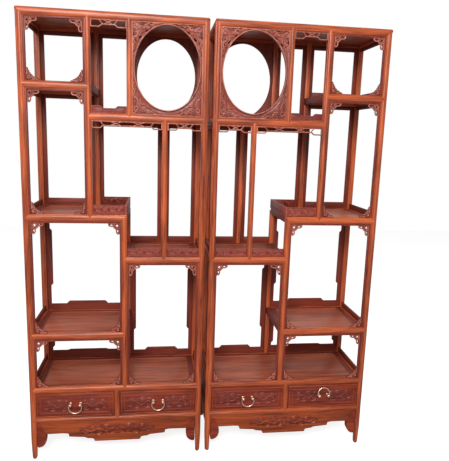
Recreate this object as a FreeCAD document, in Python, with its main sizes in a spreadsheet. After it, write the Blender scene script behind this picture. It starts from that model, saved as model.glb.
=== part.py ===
import FreeCAD, Part
import Sketcher
import math
import os

# Pair of mirrored display bookcases of the stepped treasure-shelf kind. The left one is built piece by
# piece and the right one is its mirror image. Millimetres, +Z up, the fronts face -Y, and the origin is
# the middle of the pair's footprint on the floor. Heights are measured from the floor, places across a
# cabinet from its outer side, and depths from its front plane.

document = FreeCAD.newDocument("treasure_shelf_pair")
sheet = document.addObject("Spreadsheet::Sheet", "sizes")


class Size:
    """A length: its value, and the expression that ties it to the cells of the sheet."""

    def __init__(self, value, text):
        self.value = value
        self.text = text

    def joined(self, other, sign, value):
        other_text = other.text if isinstance(other, Size) else repr(other)
        return Size(value, "(%s %s %s)" % (self.text, sign, other_text))

    def __add__(self, other):
        return self.joined(other, "+", self.value + plain(other))

    def __sub__(self, other):
        return self.joined(other, "-", self.value - plain(other))

    def __mul__(self, other):
        return self.joined(other, "*", self.value * plain(other))

    def __truediv__(self, other):
        return self.joined(other, "/", self.value / plain(other))

    def __neg__(self):
        return self * -1


def plain(value):
    return value.value if isinstance(value, Size) else value


def size(name, value):
    """Writes one driving dimension into the next row of the sheet and gives it back as a Size."""
    row = size.rows = size.rows + 1
    sheet.set("A%d" % row, name.replace("_", " "))
    sheet.set("B%d" % row, repr(value))
    sheet.setAlias("B%d" % row, name)
    return Size(float(value), "sizes." + name)


size.rows = 0
ZERO = Size(0.0, "0")

# Overall
cabinet_width = size("cabinet_width", 790)
cabinet_depth = size("cabinet_depth", 350)
cabinet_height = size("cabinet_height", 2000)
pair_gap = size("pair_gap", 20)

# Posts and rails, all with a half-round bead between two narrow flats on their show face
corner_post = size("corner_post", 28)
inner_post = size("inner_post", 22)
frame_depth = size("frame_depth", 30)
rail_height = size("rail_height", 30)
bead_flat = size("bead_flat", 2.5)
bead_rise = size("bead_rise", 6)
foot_height = size("foot_height", 90)
foot_taper = size("foot_taper", 4)

# Top frame
top_board = size("top_board", 8)
top_overhang = size("top_overhang", 2)
top_rail = size("top_rail", 22)

# Shelves: the two upper ones hang from the top frame, the lower ones stand on the base frame, and the
# stepped shelf lies between them with the tall niche's shelf a step below it
square_niche_height = size("square_niche_height", 255)
moon_gate_height = size("moon_gate_height", 377)
step_down = size("step_down", 189)
low_bay_height = size("low_bay_height", 261)
drawer_case_height = size("drawer_case_height", 151)
base_level = size("base_level", 206)
base_rail = size("base_rail", 22)

# Floating panels in the shelf frames
panel_thickness = size("panel_thickness", 10)
panel_recess = size("panel_recess", 2)

# Fretwork of the openings
lining_width = size("lining_width", 10)
lining_thickness = size("lining_thickness", 12)
lining_setback = size("lining_setback", 8)
spandrel_width = size("spandrel_width", 36)
spandrel_height = size("spandrel_height", 38)
spandrel_leg = size("spandrel_leg", 5)
fret_thickness = size("fret_thickness", 9)
frieze_height = size("frieze_height", 32)
frieze_border = size("frieze_border", 5)
fence_height = size("fence_height", 36)
step_fence_height = size("step_fence_height", 42)
fence_thickness = size("fence_thickness", 10)

# Moon gate
gate_side_margin = size("gate_side_margin", 6)
gate_head_margin = size("gate_head_margin", 4)
gate_foot_margin = size("gate_foot_margin", 17)
gate_ring_width = size("gate_ring_width", 6)
gate_ring_proud = size("gate_ring_proud", 4)
gate_panel_thickness = size("gate_panel_thickness", 12)
gate_panel_setback = size("gate_panel_setback", 8)
gate_leaf_margin = size("gate_leaf_margin", 9)
rear_gate_larger = size("rear_gate_larger", 4)
rear_gate_thickness = size("rear_gate_thickness", 10)
rear_setback = size("rear_setback", 10)

# Rear frames and side galleries
rear_strip_thickness = size("rear_strip_thickness", 10)
rear_strip_narrow = size("rear_strip_narrow", 18)
rear_strip_wide = size("rear_strip_wide", 28)
rear_base_height = size("rear_base_height", 32)
rear_base_rise = size("rear_base_rise", 14)
side_gallery_height = size("side_gallery_height", 26)
side_gallery_setback = size("side_gallery_setback", 10)

# Aprons and brackets
apron_thickness = size("apron_thickness", 16)
apron_setback = size("apron_setback", 8)
apron_height = size("apron_height", 63)
apron_step = size("apron_step", 19)
apron_drop = size("apron_drop", 46)
side_apron_drop = size("side_apron_drop", 24)
bracket_width = size("bracket_width", 46)
bracket_height = size("bracket_height", 130)
bracket_lobe = size("bracket_lobe", 6)
bracket_thickness = size("bracket_thickness", 12)

# Drawers
drawer_clearance = size("drawer_clearance", 1.5)
running_gap = size("running_gap", 0.4)
drawer_front_thickness = size("drawer_front_thickness", 18)
drawer_front_setback = size("drawer_front_setback", 5)
drawer_side_thickness = size("drawer_side_thickness", 12)
drawer_bottom_thickness = size("drawer_bottom_thickness", 7)
drawer_bottom_rise = size("drawer_bottom_rise", 6)
drawer_box_height = size("drawer_box_height", 96)
drawer_rear_clearance = size("drawer_rear_clearance", 35)
drawer_bead_inset = size("drawer_bead_inset", 18)
drawer_bead_width = size("drawer_bead_width", 5)
drawer_bead_rise = size("drawer_bead_rise", 3)
divider_width = size("divider_width", 25)
case_panel_thickness = size("case_panel_thickness", 10)
case_panel_setback = size("case_panel_setback", 8)
guide_height = size("guide_height", 24)

# Bail pulls
pull_spacing = size("pull_spacing", 45)
pull_level = size("pull_level", 273)
pull_neck_radius = size("pull_neck_radius", 4.5)
pull_neck_length = size("pull_neck_length", 9)
pull_head_radius = size("pull_head_radius", 7.5)
pull_head_cheek = size("pull_head_cheek", 4)
bail_wire_radius = size("bail_wire_radius", 2.4)
bail_pin_radius = size("bail_pin_radius", 1.5)
bail_pin_length = size("bail_pin_length", 3.5)
bail_clearance = size("bail_clearance", 0.4)
bail_drop = size("bail_drop", 40)

# Plain numbers: shares of a length, counts and a turn in degrees. The dividers' middles are shares of the
# clear width between the corner posts, and the stepped shelf's level of the height between the open bay's
# shelf and the moon gate's.
divider_share = {"upper": 0.3488, "gate": 0.579, "middle": 0.7847, "lower": 0.5477}
stepped_share = 0.5559
octagon_share = math.tan(math.pi / 8)
oval_share = {"across": 0.66, "up": 0.7523}
leaf_share = {"low": 0.41, "high": 0.69, "tip": 0.87, "tip_rise": 0.605, "bud": 0.757, "heart": 0.815}
spandrel_share = {"cusp": 0.4, "eye_near": 0.14, "eye_far": 0.52}
cell_share = {"point": 0.2, "low": 0.22}
rear_share = {"low": 0.25, "high": 0.82, "base_left": 0.26, "base_right": 0.74}
apron_share = {"step": 0.195, "slope": 0.305, "cusp": 0.35, "slope_drop": 0.62}
bracket_share = {"neck": 0.5, "lobe": 0.64, "turn": 0.86}
FRIEZE_CELLS = 2
BAIL_RUNS = 12
BAIL_TURNED_UP = 194

# Worked out from the sizes above
pull_projection = pull_neck_length + pull_head_radius * 2 - drawer_front_setback
front_plane = -(cabinet_depth + top_overhang - pull_projection) / 2
outer_side = -(pair_gap / 2 + cabinet_width)
top_underside = cabinet_height - top_board - top_rail
inner_edge = cabinet_width - corner_post
rear_frame_face = cabinet_depth - frame_depth
clear_width = inner_edge - corner_post
upper_divider_place = corner_post + clear_width * divider_share["upper"]
gate_divider_place = corner_post + clear_width * divider_share["gate"]
middle_divider_place = corner_post + clear_width * divider_share["middle"]
lower_divider_place = corner_post + clear_width * divider_share["lower"]
niche_level = top_underside - square_niche_height
gate_level = top_underside - moon_gate_height
case_level = base_level + drawer_case_height
bay_level = case_level + low_bay_height
stepped_level = bay_level + (gate_level - bay_level) * stepped_share
tall_level = stepped_level - step_down


def across(place):
    return outer_side + place


def deep(depth):
    return front_plane + depth


def bind(thing, name, length):
    thing.setExpression(name, length.text)


def place(thing, x, y, z, rotation=None):
    """Puts a piece at a place given by sizes, turned by an axis and an angle."""
    if rotation is not None:
        thing.Placement = FreeCAD.Placement(FreeCAD.Vector(0, 0, 0), rotation)
    bind(thing, ".Placement.Base.x", across(x))
    bind(thing, ".Placement.Base.y", deep(y))
    bind(thing, ".Placement.Base.z", z)
    return thing


# Ways to turn a piece drawn in its own XY plane: to stand facing the front, to stand facing a side, to lie
# along the cabinet as a rail whose top face is the drawing's left edge, and to run from front to back.
UPRIGHT = FreeCAD.Rotation()
FACING_FRONT = FreeCAD.Rotation(FreeCAD.Vector(1, 0, 0), 90)
FACING_SIDE = FreeCAD.Rotation(FreeCAD.Vector(1, 1, 1), 120)
RAIL_FRONT = FreeCAD.Rotation(FreeCAD.Vector(0, 1, 0), 90)


def origin_plane(body, role):
    return next(item for item in body.Origin.OriginFeatures if item.Role == role)


def new_body(name):
    return document.addObject("PartDesign::Body", name)


def new_sketch(body, name, role="XY_Plane", offset=None):
    """A sketch on one of the body's own origin planes, lifted off it by an offset where one is given."""
    sketch = body.newObject("Sketcher::SketchObject", name)
    sketch.AttachmentSupport = [(origin_plane(body, role), "")]
    sketch.MapMode = "FlatFace"
    if offset is not None:
        bind(sketch, ".AttachmentOffset.Base.z", offset)
    return sketch


def vector(x, y):
    return FreeCAD.Vector(plain(x), plain(y), 0)


def outline(sketch, points):
    """Draws one closed outline. A point is (x, y) or (x, y, bulge): the edge that leaves it is straight, or
    an arc that stands off its chord by the bulge, to the left of the way round. Each point is held at its
    distances from the origin, and each arc by the radius that its chord and bulge give."""
    geometry = []
    rules = []
    bound = []
    first = sketch.GeometryCount
    count = len(points)
    for number, point in enumerate(points):
        after = points[(number + 1) % count]
        start = vector(point[0], point[1])
        end = vector(after[0], after[1])
        if len(point) == 2:
            geometry.append(Part.LineSegment(start, end))
            continue
        bulge = plain(point[2])
        chord = end - start
        left = FreeCAD.Vector(-chord.y, chord.x, 0).normalize()
        middle = (start + end) / 2 + left * bulge
        geometry.append(Part.Arc(start, middle, end))
    sketch.addGeometry(geometry, False)
    for number, point in enumerate(points):
        after = points[(number + 1) % count]
        here = first + number
        following = first + (number + 1) % count
        bulge = plain(point[2]) if len(point) == 3 else 0.0
        forward = bulge <= 0
        head = 1 if forward or len(point) == 2 else 2
        tail = 3 - head
        following_bulge = plain(after[2]) if len(after) == 3 else 0.0
        following_head = 1 if following_bulge <= 0 or len(after) == 2 else 2
        rules.append(Sketcher.Constraint("Coincident", here, tail, following, following_head))
        for direction, length in (("DistanceX", point[0]), ("DistanceY", point[1])):
            rules.append(Sketcher.Constraint(direction, -1, 1, here, head, plain(length)))
            bound.append((len(rules) - 1, length))
        if len(point) == 3:
            run = (after[0] - point[0]) * (after[0] - point[0])
            rise = (after[1] - point[1]) * (after[1] - point[1])
            spread = point[2] if bulge > 0 else -point[2]
            radius = ((run + rise) / spread / 4 + spread) / 2
            rules.append(Sketcher.Constraint("Radius", here, plain(radius)))
            bound.append((len(rules) - 1, radius))
    offset = sketch.ConstraintCount
    sketch.addConstraint(rules)
    for number, length in bound:
        bind(sketch, "Constraints[%d]" % (offset + number), length)


def oval(half_width, half_height):
    """An upright oval of four arcs that meet smoothly at the places given by the shares."""
    x = half_width * oval_share["across"]
    y = half_height * oval_share["up"]
    side = half_width - x
    end = half_height - y
    return [(x, -y, -side), (x, y, -end), (-x, y, -side), (-x, -y, -end)]


def eight_sided(middle, half_width, half_height):
    """An upright rectangle with its corners cut off, regular where it is as high as it is wide."""
    x = half_width * octagon_share
    y = half_height * octagon_share
    return [(middle + x, -half_height), (middle + half_width, -y), (middle + half_width, y),
            (middle + x, half_height), (middle - x, half_height), (middle - half_width, y),
            (middle - half_width, -y), (middle - x, -half_height)]


def rectangle(left, low, right, high):
    return [(left, low), (right, low), (right, high), (left, high)]


def pad(body, sketch, length, name="pad"):
    feature = body.newObject("PartDesign::Pad", name)
    feature.Profile = sketch
    bind(feature, "Length", length)
    sketch.Visibility = False
    return feature


def pocket(body, sketch, depth, reverse=False, name="pocket"):
    feature = body.newObject("PartDesign::Pocket", name)
    feature.Profile = sketch
    feature.Reversed = reverse
    bind(feature, "Length", depth)
    sketch.Visibility = False
    return feature


def circle(sketch, x, y, radius):
    middle = vector(x, y)
    number = sketch.addGeometry(Part.Circle(middle, FreeCAD.Vector(0, 0, 1), plain(radius)), False)
    for kind, length in (("DistanceX", x), ("DistanceY", y)):
        rule = sketch.addConstraint(Sketcher.Constraint(kind, -1, 1, number, 3, plain(length)))
        bind(sketch, "Constraints[%d]" % rule, length)
    rule = sketch.addConstraint(Sketcher.Constraint("Radius", number, plain(radius)))
    bind(sketch, "Constraints[%d]" % rule, radius)


def board(name, outlines, thickness, x, y, z, rotation):
    """A flat piece: outlines drawn on the XY plane, the first round it and the others pierced."""
    body = new_body(name)
    sketch = new_sketch(body, name + "_outline")
    for points in outlines:
        outline(sketch, points)
    pad(body, sketch, thickness)
    return place(body, x, y, z, rotation)


def block(name, x, y, z, length, width, height):
    """A plain square-edged board, from its outer, front and lower corner."""
    box = document.addObject("Part::Box", name)
    bind(box, "Length", length)
    bind(box, "Width", width)
    bind(box, "Height", height)
    return place(box, x, y, z)


def bead_section(width):
    """Section of a rail or a divider: a half-round bead between two narrow flats on the show face."""
    return [(ZERO, bead_rise), (bead_flat, bead_rise, -bead_rise), (width - bead_flat, bead_rise),
            (width, bead_rise), (width, frame_depth), (ZERO, frame_depth)]


def moulded_bar(name, width, length, x, y, z, rotation):
    return board(name, [bead_section(width)], length, x, y, z, rotation)


def front_rail(name, left, right, level, height=rail_height):
    return moulded_bar(name, height, right - left, left, ZERO, level, RAIL_FRONT)


def rear_rail(name, left, right, level, height=rail_height):
    return block(name, left, rear_frame_face, level - height, right - left, frame_depth, height)


def side_rail(name, side, level, width, height=rail_height):
    """A rail from the front to the rear, set between the front and rear members, plain towards the shelf."""
    return block(name, side, frame_depth, level - height, width, rear_frame_face - frame_depth, height)


nodes = []


def node(name, pieces):
    """One named piece, or one named group of like pieces that stay separate solids."""
    if len(pieces) == 1:
        thing = pieces[0]
    else:
        thing = document.addObject("Part::Compound", name)
        thing.Links = pieces
    thing.Label = name
    nodes.append((name, thing))
    return thing


# Corner posts

def corner_post_body(name, mirrored_across, at_rear):
    """A corner post: a bead on its outer side and, at the front, on its show face too. The foot tapers on
    its outer side. It is drawn with its outer corner at the origin, and mirrored by turning the signs."""
    a = -1 if mirrored_across else 1
    b = -1 if at_rear else 1
    turn = a * b
    wide = corner_post
    full = frame_depth
    rise = bead_rise
    flat = bead_flat
    if at_rear:
        show_face = [(rise, ZERO), (wide, ZERO)]
        low_flat = flat
    else:
        show_face = [(rise, rise), (rise + flat, rise, -rise * turn), (wide - flat, rise), (wide, rise)]
        low_flat = rise + flat
    section = show_face + [(wide, full), (rise, full), (rise, full - flat, -rise * turn), (rise, low_flat)]
    signed = [(point[0] * a, point[1] * b) + tuple(point[2:]) for point in section]

    body = new_body(name)
    shaft = new_sketch(body, name + "_section")
    outline(shaft, signed)
    pad(body, shaft, top_underside)
    taper = new_sketch(body, name + "_taper", "XZ_Plane")
    outline(taper, [(ZERO, ZERO), (foot_taper * a, ZERO), (ZERO, foot_height)])
    cut = pocket(body, taper, frame_depth * 2, False, "foot_taper")
    cut.Midplane = True
    x = cabinet_width if mirrored_across else ZERO
    y = cabinet_depth if at_rear else ZERO
    return place(body, x, y, ZERO)


node("outer_posts", [corner_post_body("outer_front_post", False, False),
                     corner_post_body("outer_rear_post", False, True)])
node("inner_posts", [corner_post_body("inner_front_post", True, False),
                     corner_post_body("inner_rear_post", True, True)])


# Dividers between the compartments, one at the front and one at the rear

def divider_posts(name, middle, low, high):
    left = middle - inner_post / 2
    front = moulded_bar(name + "_front", inner_post, high - low, left, ZERO, low, UPRIGHT)
    rear = block(name + "_rear", left, rear_frame_face, low, inner_post, frame_depth, high - low)
    node(name, [front, rear])


divider_posts("upper_divider_posts", upper_divider_place, stepped_level, top_underside)
divider_posts("gate_divider_posts", gate_divider_place, gate_level, top_underside)
divider_posts("middle_divider_posts", middle_divider_place, tall_level, gate_level - rail_height)
divider_posts("lower_divider_posts", lower_divider_place, case_level, stepped_level - rail_height)

upper_left = upper_divider_place - inner_post / 2
upper_right = upper_divider_place + inner_post / 2
gate_left = gate_divider_place - inner_post / 2
gate_right = gate_divider_place + inner_post / 2
middle_left = middle_divider_place - inner_post / 2
middle_right = middle_divider_place + inner_post / 2
lower_left = lower_divider_place - inner_post / 2
lower_right = lower_divider_place + inner_post / 2


# Top: four moulded rails between thin lips of the cover board

top_level = top_underside + top_rail
node("top_frame", [
    front_rail("top_front_rail", ZERO, cabinet_width, top_level, top_rail),
    rear_rail("top_rear_rail", ZERO, cabinet_width, top_level, top_rail),
    side_rail("top_outer_rail", ZERO, top_level, corner_post, top_rail),
    side_rail("top_inner_rail", inner_edge, top_level, corner_post, top_rail),
    block("top_cover", -top_overhang, -top_overhang, top_level, cabinet_width + top_overhang * 2,
          cabinet_depth + top_overhang * 2, top_board)])


# Shelves: a moulded frame with a floating panel let in just under its upper face

def shelf(name, left, right, level, outer_width, inner_width, outer_inset, inner_inset, height=rail_height):
    """Left and right are the clear edges between the posts. Each side rail lies in line with its posts."""
    front_left = left - outer_inset
    front_right = right + inner_inset
    pieces = [
        front_rail(name + "_front_rail", front_left, front_right, level, height),
        rear_rail(name + "_rear_rail", front_left, front_right, level, height),
        side_rail(name + "_outer_rail", left - outer_width, level, outer_width, height),
        side_rail(name + "_inner_rail", right, level, inner_width, height),
        block(name + "_panel", left, frame_depth, level - panel_recess - panel_thickness, right - left,
              rear_frame_face - frame_depth, panel_thickness)]
    node(name, pieces)


shelf("square_niche_shelf", corner_post, upper_left, niche_level, corner_post, inner_post, ZERO, ZERO)
shelf("moon_gate_shelf", upper_right, inner_edge, gate_level, inner_post, corner_post, ZERO, ZERO)
shelf("stepped_shelf", corner_post, lower_left, stepped_level, corner_post, inner_post, ZERO, inner_post)
shelf("tall_niche_shelf", lower_right, inner_edge, tall_level, inner_post, corner_post, ZERO, ZERO)
shelf("open_bay_shelf", corner_post, lower_left, bay_level, corner_post, inner_post, ZERO, ZERO)
shelf("drawer_case_top", corner_post, inner_edge, case_level, corner_post, corner_post, ZERO, ZERO)
shelf("base_frame", corner_post, inner_edge, base_level, corner_post, corner_post, ZERO, ZERO, base_rail)


# Drawer case: side panels, back panel, the divider between the drawer fronts, and the guides

case_underside = case_level - rail_height
case_clear = case_underside - base_level
case_middle = cabinet_width / 2
panel_run = rear_frame_face - frame_depth
guide_width = corner_post - case_panel_setback - case_panel_thickness
node("drawer_case", [
    block("case_outer_panel", case_panel_setback, frame_depth, base_level, case_panel_thickness, panel_run,
          case_clear),
    block("case_inner_panel", cabinet_width - case_panel_setback - case_panel_thickness, frame_depth,
          base_level, case_panel_thickness, panel_run, case_clear),
    block("case_back_panel", corner_post, rear_frame_face + case_panel_setback, base_level,
          clear_width, case_panel_thickness, case_clear),
    moulded_bar("drawer_divider", divider_width, case_clear, case_middle - divider_width / 2, ZERO,
                base_level, UPRIGHT),
    block("middle_guide", case_middle - divider_width / 2, frame_depth, base_level, divider_width,
          panel_run, guide_height),
    block("outer_guide", case_panel_setback + case_panel_thickness, frame_depth, base_level, guide_width,
          panel_run, guide_height),
    block("inner_guide", inner_edge, frame_depth, base_level, guide_width, panel_run, guide_height)])


# Moon gate: a pierced panel with an oval opening, a raised ring round it and leaf openings in the corners

gate_width = inner_edge - gate_right
gate_middle = gate_right + gate_width / 2
ring_half_width = gate_width / 2 - gate_side_margin
ring_half_height = (moon_gate_height - gate_head_margin - gate_foot_margin) / 2
gate_head = ring_half_height + gate_head_margin
gate_foot = ring_half_height + gate_foot_margin
gate_centre_level = gate_level + gate_foot
gate_half_width = ring_half_width - gate_ring_width
gate_half_height = ring_half_height - gate_ring_width


def gate_board(name, larger, thickness, y):
    """A panel that fills the frame, with an upright oval opening."""
    body = new_body(name)
    sketch = new_sketch(body, name + "_outline")
    outline(sketch, rectangle(-gate_width / 2, -gate_foot, gate_width / 2, gate_head))
    outline(sketch, oval(gate_half_width + larger, gate_half_height + larger))
    pad(body, sketch, thickness)
    place(body, gate_middle, y, gate_centre_level, FACING_FRONT)
    return body


def leaf_openings(a, b, end):
    """The pierced openings of one corner: a leaf on each side that follows the ring, and a bud in the
    corner. The signs say which corner, and end is how far the board reaches there from the middle of
    the ring."""
    x = gate_width / 2 - gate_leaf_margin
    y = end - gate_leaf_margin
    wide = ring_half_width
    high = ring_half_height
    share = leaf_share
    side_leaf = [(x, high * share["low"]), (x, high * share["high"]),
                 (wide * share["tip"], high * share["tip_rise"])]
    end_leaf = [(wide * share["low"], y), (wide * share["high"], y),
                (wide * share["tip_rise"], high * share["tip"])]
    bud = [(x, high * share["bud"]), (x, y), (wide * share["bud"], y),
           (wide * share["heart"], high * share["heart"])]
    return [[(point[0] * a, point[1] * b) for point in shape] for shape in (side_leaf, end_leaf, bud)]


gate = gate_board("moon_gate_panel", ZERO, gate_panel_thickness, gate_panel_setback + gate_panel_thickness)
ring_sketch = new_sketch(gate, "gate_ring", offset=gate_panel_thickness)
outline(ring_sketch, oval(ring_half_width, ring_half_height))
outline(ring_sketch, oval(gate_half_width, gate_half_height))
pad(gate, ring_sketch, gate_ring_proud, "ring_pad")
leaf_sketch = new_sketch(gate, "gate_leaves", offset=gate_panel_thickness)
for across_sign in (1, -1):
    for up_sign, end in ((1, gate_head), (-1, gate_foot)):
        for leaf in leaf_openings(across_sign, up_sign, end):
            outline(leaf_sketch, leaf)
pocket(gate, leaf_sketch, gate_panel_thickness, False, "leaf_openings")
node("moon_gate_panel", [gate])

rear_gate_face = cabinet_depth - rear_setback - rear_gate_thickness
node("rear_gate_panel", [gate_board("rear_gate_panel", rear_gate_larger, rear_gate_thickness,
                                    rear_gate_face + rear_gate_thickness)])


# Linings and corner spandrels of the open compartments

openings = {
    "square_niche": (corner_post, upper_left, niche_level, top_underside),
    "high_niche": (corner_post, upper_left, stepped_level, niche_level - rail_height),
    "open_bay": (corner_post, lower_left, bay_level, stepped_level - rail_height),
    "tall_bay": (lower_right, inner_edge, case_level, tall_level - rail_height),
    "low_bay": (corner_post, lower_left, case_level, bay_level - rail_height)}


def lining(name, left, right, low, high):
    y = lining_setback
    return [
        block(name + "_left", left, y, low, lining_width, lining_thickness, high - low),
        block(name + "_right", right - lining_width, y, low, lining_width, lining_thickness, high - low),
        block(name + "_head", left + lining_width, y, high - lining_width, right - left - lining_width * 2,
              lining_thickness, lining_width)]


def spandrel(name, x, z, toward_right, upward):
    """A bracket in one corner of a lining: two legs and a cusped free edge. The upper ones are pierced by a
    leaf-shaped eye. The signs say which way it grows from its corner."""
    a = 1 if toward_right else -1
    b = 1 if upward else -1
    w = spandrel_width * a
    k = spandrel_height * b
    cusp = spandrel_share["cusp"]
    near = spandrel_share["eye_near"]
    far = spandrel_share["eye_far"]
    edge = [(ZERO, ZERO), (w, ZERO), (w, spandrel_leg * b), (w * cusp, k * cusp), (spandrel_leg * a, k),
            (ZERO, k)]
    eye = [(w * near, k * near), (w * far, k * near), (w * near, k * far)]
    outlines = [edge] if upward else [edge, eye]
    return board(name, outlines, fret_thickness, x, lining_setback + fret_thickness, z, FACING_FRONT)


linings = []
spandrels = []
for opening_name, (left, right, low, high) in openings.items():
    linings += lining(opening_name + "_lining", left, right, low, high)
    inner_left = left + lining_width
    inner_right = right - lining_width
    spandrels += [
        spandrel(opening_name + "_spandrel_1", inner_left, high - lining_width, True, False),
        spandrel(opening_name + "_spandrel_2", inner_right, high - lining_width, False, False),
        spandrel(opening_name + "_spandrel_3", inner_left, low, True, True),
        spandrel(opening_name + "_spandrel_4", inner_right, low, False, True)]
node("opening_linings", linings)
node("corner_spandrels", spandrels)


# Pierced friezes under the rails and fences on the shelves

def pierced_strip(name, left, right, low, height, cells, thickness, y):
    """A strip between two uprights with a row of long six-sided openings, pointed towards each other."""
    run = right - left
    pitch = (run - frieze_border) / cells
    strips = [rectangle(ZERO, ZERO, run, height)]
    middle = height / 2
    bottom = height * cell_share["low"]
    for number in range(cells):
        start = frieze_border + pitch * number
        stop = start + pitch - frieze_border
        point = pitch * cell_share["point"]
        strips.append([(start, middle), (start + point, bottom), (stop - point, bottom), (stop, middle),
                       (stop - point, height - bottom), (start + point, height - bottom)])
    return board(name, strips, thickness, left, y + thickness, low, FACING_FRONT)


frieze_y = lining_setback
gate_underside = gate_level - rail_height
frieze_underside = gate_underside - frieze_height
node("fret_friezes", [
    pierced_strip("narrow_niche_frieze", upper_right, gate_left, top_underside - frieze_height,
                  frieze_height, FRIEZE_CELLS, fret_thickness, frieze_y),
    pierced_strip("narrow_niche_foot", upper_right, gate_left, gate_level, frieze_height, FRIEZE_CELLS,
                  fret_thickness, frieze_y),
    pierced_strip("stepped_niche_frieze", upper_right, middle_left, frieze_underside, frieze_height,
                  FRIEZE_CELLS * 2, fret_thickness, frieze_y),
    pierced_strip("tall_niche_frieze", middle_right, inner_edge, frieze_underside, frieze_height,
                  FRIEZE_CELLS, fret_thickness, frieze_y)])

fence_y = frame_depth / 2
rear_fence_y = cabinet_depth - rear_setback - fence_thickness
step_run = lower_right - upper_right
node("shelf_fences", [
    pierced_strip("step_front_fence", upper_right, lower_right - fence_thickness, stepped_level,
                  step_fence_height, FRIEZE_CELLS, fence_thickness, fence_y),
    block("step_end_fence", lower_right - fence_thickness, fence_y, stepped_level, fence_thickness,
          cabinet_depth - rear_setback - fence_y, step_fence_height),
    block("step_rear_fence", upper_right, rear_fence_y, stepped_level, step_run - fence_thickness,
          fence_thickness, step_fence_height),
    pierced_strip("stepped_niche_fence", lower_right, middle_left, tall_level, fence_height, FRIEZE_CELLS,
                  fence_thickness, fence_y),
    pierced_strip("tall_niche_fence", middle_right, inner_edge, tall_level, fence_height, FRIEZE_CELLS,
                  fence_thickness, fence_y)])


# Rear frames of the compartments, those of the lower bays with stepped inner edges, and low galleries in
# the side openings

def rear_frame(name, left, right, low, high):
    y = cabinet_depth - rear_setback
    run = right - left
    rise = high - low
    step = rear_strip_wide - rear_strip_narrow
    base = rear_base_height
    top = base + rear_base_rise

    def upright(label, corner, sign):
        narrow = rear_strip_narrow * sign
        wide = rear_strip_wide * sign
        return board(label, [[
            (ZERO, ZERO), (narrow, ZERO), (narrow, rise * rear_share["low"]),
            (wide, rise * rear_share["low"] + step), (wide, rise * rear_share["high"] - step),
            (narrow, rise * rear_share["high"]), (narrow, rise), (ZERO, rise)]],
            rear_strip_thickness, corner, y, low, FACING_FRONT)

    inner_left = left + rear_strip_narrow
    inner_run = run - rear_strip_narrow * 2
    start = inner_run * rear_share["base_left"]
    stop = inner_run * rear_share["base_right"]
    foot = board(name + "_base", [[
        (ZERO, ZERO), (inner_run, ZERO), (inner_run, base), (stop + step, base), (stop, top), (start, top),
        (start - step, base), (ZERO, base)]],
        rear_strip_thickness, inner_left, y, low, FACING_FRONT)
    head = board(name + "_head", [rectangle(ZERO, ZERO, inner_run, base)], rear_strip_thickness, inner_left,
                 y, high - base, FACING_FRONT)
    return [upright(name + "_outer", left, 1), upright(name + "_inner", right, -1), foot, head]


def rear_strip(name, left, right, low, high):
    """One plain strip of a rear frame, from its edges."""
    y = cabinet_depth - rear_setback - rear_strip_thickness
    return block(name, left, y, low, right - left, rear_strip_thickness, high - low)


def plain_rear_frame(name, left, right, low, high):
    """Two uprights, and a base and a head between them."""
    inner_left = left + rear_strip_narrow
    inner_right = right - rear_strip_narrow
    return [
        rear_strip(name + "_outer", left, inner_left, low, high),
        rear_strip(name + "_inner", inner_right, right, low, high),
        rear_strip(name + "_base", inner_left, inner_right, low, low + rear_base_height),
        rear_strip(name + "_head", inner_left, inner_right, high - rear_strip_narrow, high)]


def side_gallery(name, x, low):
    """A low rail in a side opening."""
    return block(name, x, frame_depth, low, rear_strip_thickness, panel_run, side_gallery_height)


galleries = []
for opening_name in ("open_bay", "tall_bay", "low_bay"):
    left, right, low, high = openings[opening_name]
    galleries += rear_frame(opening_name + "_rear", left, right, low, high)
plain_frames = {
    "square_niche": openings["square_niche"],
    "high_niche": openings["high_niche"],
    "narrow_niche": (upper_right, gate_left, gate_level, top_underside),
    "tall_niche": (middle_right, inner_edge, tall_level, gate_underside)}
for opening_name, (left, right, low, high) in plain_frames.items():
    galleries += plain_rear_frame(opening_name + "_rear", left, right, low, high)
step_left = upper_right + rear_strip_narrow
step_right = middle_left - rear_strip_narrow
galleries += [
    rear_strip("stepped_niche_rear_outer", upper_right, step_left, stepped_level + step_fence_height,
               gate_underside),
    rear_strip("stepped_niche_rear_inner", step_right, middle_left, tall_level, gate_underside),
    rear_strip("stepped_niche_rear_base", lower_right, step_right, tall_level,
               tall_level + rear_base_height),
    rear_strip("stepped_niche_rear_head", step_left, step_right, gate_underside - rear_strip_narrow,
               gate_underside)]
outer_x = side_gallery_setback
inner_x = cabinet_width - side_gallery_setback - rear_strip_thickness
for gallery_name, x, low in (
        ("square_niche_gallery", outer_x, niche_level), ("high_niche_gallery", outer_x, stepped_level),
        ("open_bay_gallery", outer_x, bay_level), ("low_bay_gallery", outer_x, case_level),
        ("tall_niche_gallery", inner_x, tall_level), ("tall_bay_gallery", inner_x, case_level)):
    galleries.append(side_gallery(gallery_name, x, low))
node("gallery_frames", galleries)


# Aprons under the base frame, and the brackets beside the feet

def apron(name, run, drop, x, y, rotation):
    """The lower edge runs level from each end, steps down, slopes to a cusp and drops to a long middle
    stretch."""
    ends = -apron_height
    step = run * apron_share["step"]
    slope = run * apron_share["slope"]
    cusp = run * apron_share["cusp"]
    slope_level = ends - drop * apron_share["slope_drop"]
    return board(name, [[
        (ZERO, ZERO), (ZERO, ends), (step, ends), (step, ends - apron_step), (slope, slope_level),
        (cusp, ends - drop), (run - cusp, ends - drop), (run - slope, slope_level),
        (run - step, ends - apron_step), (run - step, ends), (run, ends), (run, ZERO)]],
        apron_thickness, x, y, base_level - base_rail, rotation)


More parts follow.
